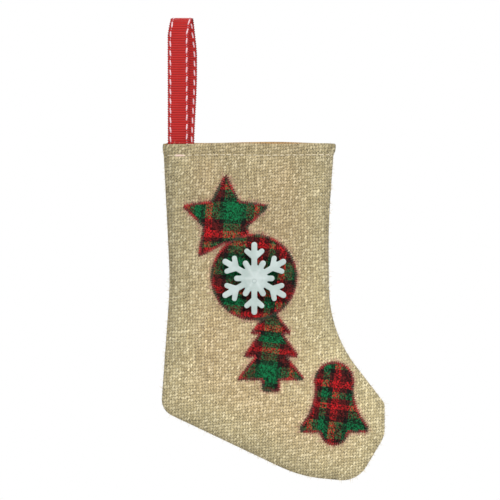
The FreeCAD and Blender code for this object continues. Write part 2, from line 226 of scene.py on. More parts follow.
def tube(points, radius, sides=6, lobes=0, lay=0.0, depth=0.2):
    """Points and faces of a closed thread; lobes and lay (length of a turn) twist it from plies."""
    points = np.asarray(points, float)
    radius = np.broadcast_to(np.asarray(radius, float), len(points))
    steps = np.linalg.norm(np.diff(points, axis=0), axis=1)
    along = np.concatenate([[0], np.cumsum(steps)])
    runs = unit(np.gradient(points, axis=0))
    side = np.cross(runs, [0.0, 1.0, 0.0])
    bad = np.linalg.norm(side, axis=1) < 0.2
    side[bad] = np.cross(runs[bad], [1.0, 0.0, 0.3])
    side = unit(side)
    other = np.cross(side, runs)
    turn = np.linspace(0, 2 * math.pi, sides, endpoint=False)
    size = np.ones((len(points), sides))
    if lobes:
        size += depth * np.cos(lobes * turn[None, :] + 2 * math.pi * along[:, None] / lay)
    size *= radius[:, None]
    rings = (
        points[:, None, :]
        + (np.cos(turn)[None, :] * size)[..., None] * side[:, None, :]
        + (np.sin(turn)[None, :] * size)[..., None] * other[:, None, :]
    ).reshape(-1, 3)
    faces = grid_faces(len(points), sides, True)
    faces.append(list(range(sides - 1, -1, -1)))
    faces.append(list(range(len(rings) - sides, len(rings))))
    return rings, faces


class Pile:
    """Gathers the points and faces of many small pieces into one mesh."""

    def __init__(self):
        self.points, self.faces, self.count = [], [], 0

    def add(self, part):
        points, faces = part
        self.points.append(np.asarray(points, float))
        self.faces += [[i + self.count for i in f] for f in faces]
        self.count += len(points)

    def mesh(self, name):
        return new_mesh(name, np.concatenate(self.points), self.faces)


def waves(points, size, seed, octaves=2):
    """Smooth seeded noise of about -1 to 1 at points (n, 2) or (n, 3), with features of that size."""
    made = np.random.default_rng(seed)
    points = np.atleast_2d(np.asarray(points, float))
    total = np.zeros(len(points))
    for octave in range(octaves):
        for _ in range(6):
            direction = made.normal(size=points.shape[1])
            direction *= 2 * math.pi / size * 1.9 ** octave / np.linalg.norm(direction)
            direction *= made.uniform(0.6, 1.3)
            total += np.sin(points @ direction + made.uniform(0, 2 * math.pi)) * 0.35 / 1.7 ** octave
    return total


def smoothstep(x, low, high):
    t = np.clip((np.asarray(x, float) - low) / (high - low), 0, 1)
    return t * t * (3 - 2 * t)


# ---------------------------------------------------------------- outline and flat pattern

def evenly(points, step, closed=False):
    """Points spaced about a step apart along a line, with their lengths along it."""
    points = np.asarray(points, float)
    if closed:
        points = np.concatenate([points, points[:1]])
    lengths = np.concatenate([[0], np.cumsum(np.linalg.norm(np.diff(points, axis=0), axis=1))])
    even = np.linspace(0, lengths[-1], max(2, int(round(lengths[-1] / step)) + 1))
    spaced = at_length(even, lengths, points)
    return (even[:-1], spaced[:-1]) if closed else (even, spaced)


def rounded(corners):
    """Points along a line through corners (x, z, radius), with its corners rounded."""
    places = [np.array(corner[:2]) for corner in corners]
    points = [places[0]]
    for before, here, after, corner in zip(places, places[1:], places[2:], corners[1:]):
        radius = corner[2]
        back, ahead = unit(before - here), unit(after - here)
        half = math.acos(float(np.clip(back @ ahead, -1, 1))) / 2
        centre = here + unit(back + ahead) * radius / math.sin(half)
        first = here + back * radius / math.tan(half) - centre
        last = here + ahead * radius / math.tan(half) - centre
        sweep = math.pi - 2 * half
        for share in np.linspace(0, 1, 25):
            spoke = first * math.sin(sweep * (1 - share)) + last * math.sin(sweep * share)
            points.append(centre + spoke / math.sin(sweep))
    points.append(places[-1])
    return np.array(points)


SEAM_S, SEAM_XZ = evenly(rounded(CORNERS), 0.25 * MM)
SEAM_RUN = unit(np.gradient(SEAM_XZ, axis=0))
SEAM_LENGTH = SEAM_S[-1]


def area_of(outline):
    return abs(float(np.sum(np.cross(outline, np.roll(outline, -1, 0))))) / 2


def seam_point(length, inset):
    """(x, z) at that length along the seam, moved into the pocket by inset."""
    inwards = left_of(at_length(length, SEAM_S, SEAM_RUN))
    return at_length(length, SEAM_S, SEAM_XZ) + inwards * np.asarray(inset)[..., None]


def seam_lengths(v):
    """Lengths along the seam of the two ends of the line across the sock at v."""
    sole = SEAM_PACE * v + (SOLE_SEAM - SEAM_PACE) * v * v
    instep = SEAM_PACE * v + (INSTEP_SEAM - SEAM_PACE) * v * v
    return sole, SEAM_LENGTH - instep


TOE_FROM, TOE_TO = seam_lengths(1.0)


def flat(u, v, inset):
    """(x, z) on the flat pattern: u 0 at the sole seam to 1 at the instep seam, v 0 mouth to 1 toe."""
    u, v = np.broadcast_arrays(np.asarray(u, float), np.asarray(v, float))
    left, right = (seam_point(length, inset) for length in seam_lengths(v))
    toe_left, toe_right = seam_point(TOE_FROM, inset), seam_point(TOE_TO, inset)
    toe = seam_point(TOE_FROM + (TOE_TO - TOE_FROM) * u, inset)
    pull = toe - (toe_left + (toe_right - toe_left) * u[..., None])
    return left + (right - left) * u[..., None] + pull * (v ** TOE_PULL)[..., None]


def swell(u, v):
    """Depth of the pocket beyond its seam, as a share of the leg's."""
    across = (1 - np.abs(2 * np.clip(u, 0, 1) - 1) ** 2.5) ** 0.6
    down = MOUTH_SHARE + (1 - MOUTH_SHARE) * np.sin(math.pi / 2 * np.minimum(v / FULL_FROM, 1))
    closing = np.clip((v - TOE_STARTS) / (1 - TOE_STARTS), 0, 1)
    return across * down * np.sqrt(1 - closing ** 2)


# ---------------------------------------------------------------- cloth simulation of the pocket

SIM_U, SIM_V, SIM_FRAMES = 25, 57, 30
CLOTH_GROWS = 0.022               # the cloth is a little larger than the pattern
HESSIAN_CLOTH = {
    "quality": 10, "mass": 0.05, "tension_stiffness": 30, "compression_stiffness": 30,
    "shear_stiffness": 12, "bending_stiffness": 0.4, "use_pressure": True, "uniform_pressure_force": 1.2,
    "shrink_min": -CLOTH_GROWS, "shrink_max": -CLOTH_GROWS, "vertex_group_mass": "held",
}
MOTION_CAP = 1.6 * MM
HELD_ROWS, HELD_COLUMNS = 3, 6    # points beside the ribbon that stay in place


def simulate():
    """How the pocket's cloth moves when it is sewn up slightly full and settles, as (2, v, u, 3)."""
    u, v = np.meshgrid(np.linspace(0, 1, SIM_U), np.linspace(0, 1, SIM_V))
    sides = [stand(flat(u, v, TURN), side * DEPTH * swell(u, v)) for side in (-1, 1)]
    front = np.arange(SIM_U * SIM_V).reshape(SIM_V, SIM_U)
    back = front + SIM_U * SIM_V
    back[:, 0], back[:, -1], back[-1] = front[:, 0], front[:, -1], front[-1]
    faces = [
        [int(g[r, c]), int(g[r, c + 1]), int(g[r + 1, c + 1]), int(g[r + 1, c])][::turn]
        for g, turn in ((front, -1), (back, 1))
        for r in range(SIM_V - 1)
        for c in range(SIM_U - 1)
    ]
    cloth = new_mesh("settling", np.concatenate([s.reshape(-1, 3) for s in sides]), faces)
    held = front[:HELD_ROWS, :HELD_COLUMNS].ravel().tolist()
    held += back[:HELD_ROWS, 1:HELD_COLUMNS].ravel().tolist()
    cloth.vertex_groups.new(name="held").add(held, 1.0, "REPLACE")
    settings = cloth.modifiers.new("Cloth", "CLOTH").settings
    for key, value in HESSIAN_CLOTH.items():
        setattr(settings, key, value)
    settings.effector_weights.gravity = 0
    for number in range(SIM_FRAMES):
        scene.frame_set(number + 1)
    settled = cloth.evaluated_get(bpy.context.evaluated_depsgraph_get()).data
    after = np.array([p.co for p in settled.vertices], float)
    scene.frame_set(1)
    bpy.data.objects.remove(cloth)
    return np.stack([(after[g] - s) for g, s in zip((front, back), sides)])


def tidy_motion(motion):
    """Keeps the outline where the pattern has it, centres the depth and caps the motion."""
    u = np.linspace(0, 1, SIM_U)[None, :, None]
    v = np.linspace(0, 1, SIM_V)[:, None, None]
    made = []
    for side in motion:
        side = side - (side[:, :1] * (1 - u) + side[:, -1:] * u)
        side = side - side[-1:] * v ** 4
        side[..., [0, 2]] *= 0.4
        size = np.linalg.norm(side, axis=-1, keepdims=True)
        made.append(side * MOTION_CAP * np.tanh(size / MOTION_CAP) / np.maximum(size, 1e-9))
    return np.stack(made)


def cubic(grid, rows, columns):
    """Catmull-Rom values of a grid at fractional rows and columns."""
    def weights(t):
        return np.stack([
            -0.5 * t + t ** 2 - 0.5 * t ** 3,
            1 - 2.5 * t ** 2 + 1.5 * t ** 3,
            0.5 * t + 2 * t ** 2 - 1.5 * t ** 3,
            -0.5 * t ** 2 + 0.5 * t ** 3,
        ])

    r0 = np.clip(np.floor(rows).astype(int), 0, grid.shape[0] - 2)
    c0 = np.clip(np.floor(columns).astype(int), 0, grid.shape[1] - 2)
    wr, wc = weights(rows - r0), weights(columns - c0)
    total = np.zeros(rows.shape + grid.shape[2:])
    for i in range(4):
        r = np.clip(r0 + i - 1, 0, grid.shape[0] - 1)
        for j in range(4):
            c = np.clip(c0 + j - 1, 0, grid.shape[1] - 1)
            total += grid[r, c] * (wr[i] * wc[j])[..., None]
    return total


MOTION = tidy_motion(simulate())


# ---------------------------------------------------------------- hessian panels

def near_mouth(below):
    """Share of the rim's rise and drop at a length below the mouth."""
    return np.clip(1 - below / RIM_FADE, 0, 1)


def hem_end(below):
    """Share of a hem's sideways stand at a length below the mouth."""
    return smoothstep(-below, -HEM, -2.5 * MM)


def face_points(u, v, side, inset, swelling):
    """Middle of the cloth at (u, v): side is -1 for the front panel and 1 for the back one."""
    below = v * SEAM_PACE
    plan = flat(u, v, inset)
    hem = smoothstep(-below, -HEM * 1.25, -HEM * 0.75)
    groove = np.exp(-((below - HEM_LINE) / (0.7 * MM)) ** 2)
    inside = smoothstep(np.minimum(u, 1 - u), 0, 0.05)
    rough = waves(plan.reshape(-1, 2), 26 * MM, 5 + side).reshape(hem.shape)
    y = TURN * 2 + swelling * swell(u, v) + HEM_STEP * (hem - groove) * inside
    y = y + 0.34 * MM * rough * inside * np.minimum(1, (1 - v) * 8)
    points = stand(plan, side * y)
    if MOTION is not None:
        moved = MOTION[0 if side < 0 else 1]
        points += cubic(moved, v * (SIM_V - 1), np.clip(u, 0, 1) * (SIM_U - 1))
    top = near_mouth(below)
    edge = np.minimum(u, 1 - u) * MOUTH_WIDTH
    corner = np.exp(-(edge / (1.5 * MM)) ** 2)
    points[..., 0] += np.where(u < 0.5, *EARS) * hem_end(below) * np.exp(-(edge / (3 * MM)) ** 2)
    points[..., 2] += (MOUTH_LIFT * (1 - corner) - CORNER_DROP * corner * (u < 0.5)) * top
    points[..., 2] += MOUTH_WAVE * np.sin(u * 9.0 + 1.3 * side) * top
    if side > 0:
        points[..., 2] += (BACK_RISE + BACK_ARCH * np.sin(math.pi * u) ** 2) * top
    return points


def from_seam(xz):
    """Distances of points (x, z) from the seam, as pairs."""
    line = seam_point(np.linspace(0, SEAM_LENGTH, 400), 0.0)
    near = [np.sqrt(((part[:, None] - line) ** 2).sum(-1).min(1)) for part in np.array_split(xz, 40)]
    return np.concatenate(near)[:, None] * [1, 0]


FACE_COLUMNS, FACE_ROWS, FLAP_ROWS, TOE_COLUMNS = 108, 216, 9, 90
CROWD = 0.82                      # how much closer a panel's points stand at the seams
OVER_UV = 1.2 * MM                # cloth used up in going over the mouth


def hemmed_face(side):
    """Rows of points and flat places of a panel: up the hem's flap, over the mouth and down the face."""
    t = np.linspace(0, 1, FACE_COLUMNS)
    u = t - CROWD * np.sin(2 * math.pi * t) / (2 * math.pi)
    top = TURN * 2 / SEAM_PACE
    v = top + (1 - top) * (1 - (1 - np.linspace(0, 1, FACE_ROWS)) ** 1.5)
    uu, vv = np.meshgrid(u, v)
    face = face_points(uu, vv, side, TURN, DEPTH)
    face_uv = flat(uu, vv, TURN)
    uu, vv = np.meshgrid(u, np.linspace(top, HEM / SEAM_PACE, FLAP_ROWS))
    flap = face_points(uu, vv, side, TURN + HEM_GAP, DEPTH - HEM_GAP)
    flap_uv = flat(uu, vv, TURN) * [1, -1] + [0, 2 * face_uv[0, 0, 1] + OVER_UV]
    over = []
    for angle in np.linspace(0, math.pi, 8)[1:-1]:
        point = (face[0] + flap[0]) / 2 + (face[0] - flap[0]) / 2 * math.cos(angle)
        point[:, 2] += HEM_GAP / 2 * math.sin(angle)
        over.append(point)
    over_uv = face_uv[:1] + np.linspace(0.9 * MM, 0.1 * MM, len(over))[:, None, None] * [0, 1]
    rows = np.concatenate([flap[::-1], np.array(over)[::-1], face])
    return rows, np.concatenate([flap_uv[::-1], over_uv, face_uv]), v


def allowance_strip(side, v):
    """Rows of points and flat places of the edge that turns in and lies against the other panel's."""
    quarter = np.linspace(0, math.pi / 2, 5)
    path = [(2 * TURN - TURN * math.cos(a), 2 * TURN - TURN * math.sin(a), 0.0) for a in quarter]
    path += [(2 * TURN, TURN, share) for share in np.linspace(0.15, 1, 6)]
    sole, instep = seam_lengths(v)
    lengths = np.concatenate([sole, np.linspace(TOE_FROM, TOE_TO, TOE_COLUMNS)[1:-1], instep[::-1]])
    near, by_sole = np.minimum(lengths, SEAM_LENGTH - lengths), lengths < SEAM_LENGTH / 2
    wide = TRIMMED + (ALLOWANCE - TRIMMED) * smoothstep(lengths, *TRIM_ENDS)
    wide *= 1 + 0.12 * waves(lengths[:, None] * [1, 0], 11 * MM, 31 + side)
    rows, places = [], []
    for inset, y, share in path:
        inset = inset + share * (wide - 2 * TURN)
        xz = seam_point(lengths, inset)
        xz[:, 1] += ((BACK_RISE if side > 0 else 0) - CORNER_DROP * by_sole) * near_mouth(near)
        xz[:, 0] += np.where(by_sole, *EARS) * hem_end(near)
        rows.append(stand(xz, side * y))
        places.append(seam_point(lengths, -inset + 2 * TURN))
    return np.array(rows), np.array(places)


def panel(name, side):
    """One panel of the pocket, with its turned hem and its seam allowances."""
    rows, places, v = hemmed_face(side)
    strip, strip_places = allowance_strip(side, v)
    faces = grid_faces(*rows.shape[:2])
    faces += [f[::-1] for f in grid_faces(*strip.shape[:2], first=rows[..., 0].size)]
    points = np.concatenate([rows.reshape(-1, 3), strip.reshape(-1, 3)])
    uvs = np.concatenate([places.reshape(-1, 2), strip_places.reshape(-1, 2)])
    face_seams = from_seam(rows[..., [0, 2]].reshape(-1, 2))
    seams = np.concatenate([face_seams, np.zeros((strip[..., 0].size, 2))])
    made = new_mesh(name, points, faces, uvs, seams)
    modify(made, "WELD", merge_threshold=0.02 * MM)
    return modify(made, "SOLIDIFY", thickness=CLOTH, offset=0)


front = panel("front_panel_cloth", -1)
back = panel("back_panel_cloth", 1)


class Relief:
    """Height of a mesh seen along Y on a grid, as its outer surface's y at (x, z)."""

    STEP = 0.5 * MM

    def __init__(self, made, side):
        tree = BVHTree.FromObject(made, bpy.context.evaluated_depsgraph_get())
        self.x = np.arange(-12 * MM, 98 * MM, self.STEP)
        self.z = np.arange(-216 * MM, -56 * MM, self.STEP)
        self.side = side
        self.y = np.full((len(self.x), len(self.z)), side * TURN)
        ahead = Vector((0, -side, 0))
        for i, x in enumerate(self.x):
            for j, z in enumerate(self.z):
                hit = tree.ray_cast(Vector((x, side * 0.1, z)), ahead)[0]
                if hit is not None:
                    self.y[i, j] = hit.y

    def at(self, xz, lift=0.0):
        """Points above (x, z) by lift, outwards."""
        xz = np.asarray(xz, float)
        i = np.clip((xz[..., 0] - self.x[0]) / self.STEP, 0, len(self.x) - 1.001)
        j = np.clip((xz[..., 1] - self.z[0]) / self.STEP, 0, len(self.z) - 1.001)
        i0, j0 = i.astype(int), j.astype(int)
        a, b = i - i0, j - j0
        y = (
            self.y[i0, j0] * (1 - a) * (1 - b) + self.y[i0 + 1, j0] * a * (1 - b)
            + self.y[i0, j0 + 1] * (1 - a) * b + self.y[i0 + 1, j0 + 1] * a * b
        )
        return stand(xz, y + self.side * lift)


FRONT, BACK = Relief(front, -1), Relief(back, 1)


# ---------------------------------------------------------------- ribbon loop

def ribbon_line():
    """Middle line (y, z) of the ribbon, from its front end over the hook, and the lengths along it."""
    sewn, free = PLY / 2 + PLY_GAP / 2, BIGHT + PLY / 2
    z = np.linspace(TAIL_END_Z, -BIGHT, 60)[:-1]
    share = np.maximum(0.0, (z - FOLD.z) / (-BIGHT - FOLD.z))
    front_leg, back_leg = (
        np.stack([(FOLD.y + side * sewn) * (1 - share) + side * free * share, z], 1) for side in (-1, 1)
    )
    turn = np.linspace(0, math.pi, 30)
    bend = spokes(turn) * [-free, free] - [0, BIGHT]
    return evenly(np.concatenate([front_leg, bend, back_leg[::-1]]), RIB / 8)


LINE_S, LINE_YZ = ribbon_line()
LINE_OUT = left_of(np.gradient(LINE_YZ, axis=0))              # away from the loop's inside
HALF_LINE = LINE_S[-1] / 2


def ribbon_x(length):
    """Sideways place of the ribbon's middle: the two plies hang a little apart."""
    z = np.interp(length, LINE_S, LINE_YZ[:, 1])
    ahead = FRONT_PLY_X * smoothstep(-z, -1 * MM, 9 * MM)
    bow = 0.45 + 0.85 * smoothstep(-z, -1 * MM, 18 * MM) - 0.75 * smoothstep(-z, 24 * MM, 62 * MM)
    over = smoothstep(length, HALF_LINE - 6 * MM, HALF_LINE + 6 * MM)
    return ahead * (1 - over) + BACK_PLY_X * bow * over


def on_ribbon(length, across, lift):
    """Points at a length along the ribbon, across from its middle, above its middle line."""
    length, across, lift = np.broadcast_arrays(*(np.asarray(q, float) for q in (length, across, lift)))
    yz, out = at_length(length, LINE_S, LINE_YZ), at_length(length, LINE_S, LINE_OUT)
    cup = 0.10 * MM * np.sin(length / (17 * MM)) * (across / (RIBBON / 2)) ** 2
    lift = lift + cup * smoothstep(yz[..., 1], FOLD.z + 6 * MM, FOLD.z + 16 * MM)
    x = ribbon_x(length) + across
    return np.concatenate([x[..., None], yz + out * lift[..., None]], -1)


def ribbon_piece(name, start, end):
    """A stretch of the ribbon with its ribs and picot edges as real relief."""
    length = np.linspace(start, end, int(round((end - start) / (RIB / 8))) + 1)
    ll, aa = np.meshgrid(length, np.linspace(-1, 1, 25), indexing="ij")
    rib = np.cos(2 * math.pi * ll / RIB)
    edge = smoothstep(np.abs(aa), 0.80, 1.0)
    width = RIBBON / 2 * (1 - 0.01 + 0.034 * rib * edge)
    lift = PLY / 2 - RIB_HEIGHT + RIB_HEIGHT * rib * (1 - 0.2 * edge) - 0.10 * MM * edge ** 3
    points = [on_ribbon(ll, aa * width, face * lift).reshape(-1, 3) for face in (1, -1)]
    uv = np.stack([aa * RIBBON / 2, ll], -1).reshape(-1, 2)
    grid = np.arange(ll.size).reshape(ll.shape)
    rim = np.concatenate([grid[:, 0], grid[-1, 1:], grid[-2::-1, -1], grid[0, -2:0:-1]]).tolist()
    faces = slab_faces(grid_faces(*ll.shape), list(zip(rim, rim[1:] + rim[:1])), ll.size)
    return new_mesh(name, np.concatenate(points), faces, np.concatenate([uv, uv]))


def flatten(rings, points, lengths):
    """Presses a thread's rings towards the ribbon's face and widens them across it."""
    normals = np.insert(at_length(lengths, LINE_S, LINE_OUT), 0, 0.0, 1)
    sides = len(rings) // len(points)
    middle, normal = np.repeat(points, sides, 0), np.repeat(normals, sides, 0)
    off = rings - middle
    high = (off * normal).sum(1, keepdims=True) * normal
    rings[:] = middle + (off - high) * [1.35, 1, 1] + high * 0.8


def saddle_stitches(name, start, end):
    """White running stitches along both edges of the ribbon, on both faces, between two lengths."""
    pile = Pile()
    first = math.ceil((start - HALF_LINE) / SADDLE_PITCH)
    last = math.floor((end - HALF_LINE) / SADDLE_PITCH)
    low = start + (SADDLE_DASH if start == 0 else 0)
    high = end - (SADDLE_DASH if end == LINE_S[-1] else 0)
    t = np.linspace(-0.5, 0.5, 13)
    rise = np.sqrt(np.clip(1 - (2 * t) ** 4, 0, 1))
    for row in (-1, 1):
        line = row * (RIBBON / 2 - SADDLE_INSET)
        for number in range(first, last + 1):
            middle = HALF_LINE + (number + 0.15 * row) * SADDLE_PITCH
            if not low < middle <= high:
                continue
            for face, size in ((1, 1.0), (-1, 0.95)):
                length = middle + SADDLE_DASH * t
                lift = face * (PLY / 2 - 0.16 * MM + 0.22 * MM * rise)
                points = on_ribbon(length, line + row * 0.14 * MM * t * 2, lift)
                fat = (0.13 + 0.13 * rise) * MM * size * rng.uniform(0.94, 1.06)
                rings, faces = tube(points, fat, 8, 2, 1.3 * MM, 0.16)
                flatten(rings, points, length)
                pile.add((rings, faces))
                knot = middle + SADDLE_PITCH / 2 + np.linspace(-0.5, 0.5, 5) * 0.5 * MM
                if face > 0 and knot[-1] < end and knot[0] > start:
                    pile.add(tube(on_ribbon(knot, line, PLY / 2 - 0.03 * MM), 0.13 * MM, 6))
    return pile.mesh(name)


def valley_at(z, side):
    """Length along the front (-1) or back (1) ply at the rib valley nearest to height z."""
    half = LINE_S < HALF_LINE if side < 0 else LINE_S >= HALF_LINE
    order = np.argsort(LINE_YZ[half, 1])
    length = float(np.interp(z, LINE_YZ[half, 1][order], LINE_S[half][order]))
    return (round(length / RIB - 0.5) + 0.5) * RIB


FRONT_SPLIT, BACK_SPLIT = valley_at(SPLIT_Z, -1), valley_at(SPLIT_Z, 1)
PARTS = {
    "upper": (FRONT_SPLIT, BACK_SPLIT),
    "front_end": (0.0, FRONT_SPLIT),
    "back_end": (BACK_SPLIT, LINE_S[-1]),
}
ribbon = {key: ribbon_piece("ribbon_" + key, *ends) for key, ends in PARTS.items()}
saddle = {key: saddle_stitches("saddle_stitches_" + key, *ends) for key, ends in PARTS.items()}


# ---------------------------------------------------------------- tartan patches

def arc(centre, radius, start, end, count):
    """Points (x, z) on a circle between two angles in degrees."""
    return centre + radius * spokes(np.radians(np.linspace(start, end, count)))


def star_outline():
    turn = math.pi / 2 - np.arange(10) * math.pi / 5
    reach = STAR_R * np.where(np.arange(10) % 2, STAR_WAIST, 1.0)
    return STAR_AT + reach[:, None] * spokes(turn)


def tree_outline():
    right = np.array(TREE_STEPS) * [TREE_W, -TREE_H]
    return np.concatenate([right, right[:0:-1] * [-1, 1]]) + TREE_AT


def arc_through(a, b, c, count=24):
    """Points on the circle from a by b to c."""
    a, b, c = (np.array(p, float) for p in (a, b, c))
    system = 2 * np.array([b - a, c - a])
    centre = np.linalg.solve(system, [b @ b - a @ a, c @ c - a @ a])
    start, middle, end = (math.atan2(*(p - centre)[::-1]) for p in (a, b, c))
    middle, end = ((q - start) % (2 * math.pi) for q in (middle, end))
    if middle > end:
        end -= 2 * math.pi
    return centre + np.linalg.norm(a - centre) * spokes(start + np.linspace(0, end, count))


def bell_outline():
    """Crown, flared skirt, lip and clapper of a hand bell."""
    half = BELL_W / 2
    waist, clapper = BELL_WAIST * half, CLAPPER_R * BELL_H
    shoulder, flare, rim, lip = (-d * BELL_H for d in (SHOULDER_DOWN, FLARE_DOWN, RIM_DOWN, LIP_DOWN))
    crown = arc_through((-waist, shoulder), (0, 0), (waist, shoulder))
    skirt = arc_through((waist, shoulder), (BELL_FLARE * half, flare), (half, rim))
    tongue = arc_through((clapper, lip), (0, lip - clapper), (-clapper, lip))
    corner = np.array([[half, lip]])
    points = np.concatenate([crown, skirt[1:], corner, tongue, corner * [-1, 1], skirt[:0:-1] * [-1, 1]])
    return points + BELL_AT


def outline_of(points, times):
    """Even points round a closed outline, with its corners softened so many times."""
    _, even = evenly(points, OUTLINE_STEP, closed=True)
    for _ in range(times):
        even = (np.roll(even, 1, 0) + even * 2 + np.roll(even, -1, 0)) / 4
    return even


OUTLINES = {
    "star": outline_of(star_outline(), 5),
    "disc": outline_of(arc(DISC_AT, DISC_R, 90, -270, 181)[:-1], 1),
    "tree": outline_of(tree_outline(), 5),
    "bell": outline_of(bell_outline(), 5),
}
UNDER = {"star": [], "tree": [], "disc": ["star", "tree"], "bell": ["tree"]}


def outward(ring):
    """Unit vectors across a closed outline, at each of its points."""
    return left_of(np.roll(ring, -1, 0) - np.roll(ring, 1, 0))


def depth_in(xz, outline):
    """Distance inside a closed outline, negative outside it."""
    xz = np.atleast_2d(xz)
    best = np.full(len(xz), 1e9)
    inside = np.zeros(len(xz), bool)
    for p, q in zip(outline, np.roll(outline, -1, 0)):
        run = q - p
        t = np.clip(((xz - p) @ run) / (run @ run), 0, 1)
        best = np.minimum(best, ((xz - p - t[:, None] * run) ** 2).sum(1))
        if p[1] != q[1]:
            crosses = (p[1] > xz[:, 1]) != (q[1] > xz[:, 1])
            inside ^= crosses & (xz[:, 0] < (q[0] - p[0]) * (xz[:, 1] - p[1]) / (q[1] - p[1]) + p[0])
    return np.sqrt(best) * np.where(inside, 1, -1)


def floor_under(key, xz):
    """Height above the hessian of what lies under a patch."""
    rise = np.zeros(len(xz))
    for other in UNDER[key]:
        rise = np.maximum(rise, smoothstep(depth_in(xz, OUTLINES[other]), -1.9 * MM, -0.5 * MM))
    return rise * (FELT + STEP)


def felt_top(key, xz):
    """Height above the hessian of a patch's face: its edge is pulled down by the stitches."""
    edge = np.clip(depth_in(xz, OUTLINES[key]), 0, None)
    pulled = 0.14 * MM * np.exp(-(edge / (1.0 * MM)) ** 2)
    return floor_under(key, xz) + 0.04 * MM + FELT - pulled + 0.05 * MM * waves(xz, 7 * MM, len(key))


def patch(key):
    """A flat cut of tartan laid on the front: top and underside with a closed rim."""
    outline = OUTLINES[key]
    sides = [np.arange(a, b, PATCH_STEP) for a, b in zip(outline.min(0), outline.max(0))]
    grid = np.stack(np.meshgrid(*sides), -1).reshape(-1, 2)
    grid = grid + rng.uniform(-0.05, 0.05, grid.shape) * MM
    grid = grid[depth_in(grid, outline) > OUTLINE_STEP]
    in_mm = [Vector(p) for p in (np.concatenate([outline, grid]) * 1000).tolist()]
    ring = list(range(len(outline)))
    found = delaunay_2d_cdt(in_mm, list(zip(ring, ring[1:] + ring[:1])), [], 1, 1e-5)
    xz = np.array([tuple(p) for p in found[0]]) / 1000
    faces = [list(f) for f in found[2]]
    first = xz[faces[0]]
    if np.cross(first[1] - first[0], first[2] - first[0]) < 0:
        faces = [f[::-1] for f in faces]
    top = felt_top(key, xz)
    points = np.concatenate([FRONT.at(xz, top), FRONT.at(xz, top - FELT)])
    edges = dict.fromkeys((a, b) for f in faces for a, b in zip(f, f[1:] + f[:1]))
    rim = [(a, b) for a, b in edges if (b, a) not in edges]
    return new_mesh(key + "_patch_cloth", points, slab_faces(faces, rim, len(xz)), np.concatenate([xz, xz]))


def zigzag(key):
    """The close zigzag stitching over a patch's edge, as one thread."""
    outline = OUTLINES[key]
    around, path = evenly(outline, ZIGZAG_PITCH / 12, closed=True)
    phase = around / around[-1] * round(around[-1] / ZIGZAG_PITCH) * 2 * math.pi
    swing = np.arcsin(np.sin(phase) * 0.97) / (math.pi / 2)
    wide = ZIGZAG_WIDTH / 2 * (1 + 0.14 * waves(path, 2.4 * MM, 77))
    xz = path + outward(path) * (swing * wide)[:, None]
    inner = smoothstep(depth_in(xz, outline), -0.35 * MM, 0.30 * MM)
    height = inner * felt_top(key, xz) + (1 - inner) * (floor_under(key, xz) + 0.10 * MM)
    height += ZIGZAG_R * (0.9 - 0.9 * np.abs(swing) ** 6)
    radius = ZIGZAG_R * (1 + 0.10 * waves(path, 0.9 * MM, 78))
    return new_mesh(key + "_zigzag", *tube(FRONT.at(xz, height), radius, 6, 2, 0.8 * MM, 0.14))


patches = {key: patch(key) for key in OUTLINES}
zigzags = {key: zigzag(key) for key in OUTLINES}


# ---------------------------------------------------------------- sewing threads

def stitch(start, end, relief, lift, radius):
    """One stitch between two points (x, z) of a face, sunk at both ends."""
    t = np.linspace(0, 1, 11)
    xz = np.outer(1 - t, start) + np.outer(t, end)
    rise = 1 - np.abs(2 * t - 1) ** 5
    line = relief.at(xz, lift - STITCH_SINK * (1 - rise))
    return tube(line, radius * (0.85 + 0.15 * rise), 8, 2, 1.1 * MM, 0.16)


def hem_thread(name, relief, rise):
    """Topstitching across a hem."""
    pile = Pile()
    first, last = SEAM_XZ[0, 0] + 1.6 * MM, SEAM_XZ[-1, 0] - 1.6 * MM
    count = int((last - first) / (3.0 * MM))
    for number in range(count):
        x = first + (number + 0.5) * (last - first) / count + rng.uniform(-0.1, 0.1) * MM
        z = HEM_Z + rise + 0.12 * MM * math.sin(x * 120) + rng.uniform(-0.05, 0.05) * MM
        reach = 1.12 * MM * rng.uniform(0.93, 1.05)
        tilt = rng.uniform(-0.06, 0.06) * MM
        pile.add(stitch((x - reach, z - tilt), (x + reach, z + tilt), relief, THREAD_R * 0.8, THREAD_R))
    return pile.mesh(name)


def seam_thread():
    """Lockstitch that closes the pocket, through both allowances."""
    s = np.arange(3 * MM, SEAM_LENGTH - 3 * MM, 0.4 * MM)
    near = np.minimum(s, SEAM_LENGTH - s)
    xz = seam_point(s, 1.25 * MM + 0.6 * MM * smoothstep(near, *TRIM_ENDS))
    dip = smoothstep(np.abs(np.sin(s * math.pi / (4 * MM))), 0.0, 0.45)
    pile = Pile()
    for side in (-1, 1):
        y = side * (TURN + CLOTH / 2 + THREAD_R * 0.8) * dip + side * THREAD_R * 0.5
        pile.add(tube(stand(xz, y), THREAD_R * 0.9))
    return pile.mesh("closing_seam_stitches")


def tack():
    """Short pale bar of stitches that holds the ribbon behind the hem."""
    low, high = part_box("ribbon_tack_thread")
    z = (low.z + high.z) / 2
    pile = Pile()
    for number in range(5):
        off = (number - 2) * 0.16 * MM
        start, end = (low.x + abs(off), z + off), (high.x - abs(off) * 0.6, z + off * 0.6)
        pile.add(stitch(start, end, FRONT, (0.15 + 0.10 * (number % 2)) * MM, TACK_R))
    for x in (low.x + 0.6 * MM, high.x - 0.6 * MM):
        top = FRONT.at(np.array([[x, z]]), 0.1 * MM)[0]
        pile.add(tube(np.linspace(top, [x, FOLD.y + 0.9 * MM, z], 9), TACK_R))
    return pile.mesh("ribbon_tack_stitches")


front_hem = hem_thread("front_hem_stitches", FRONT, 0.0)
back_hem = hem_thread("back_hem_stitches", BACK, BACK_RISE)
closing = seam_thread()
tack_stitches = tack()


# ---------------------------------------------------------------- stray fibres

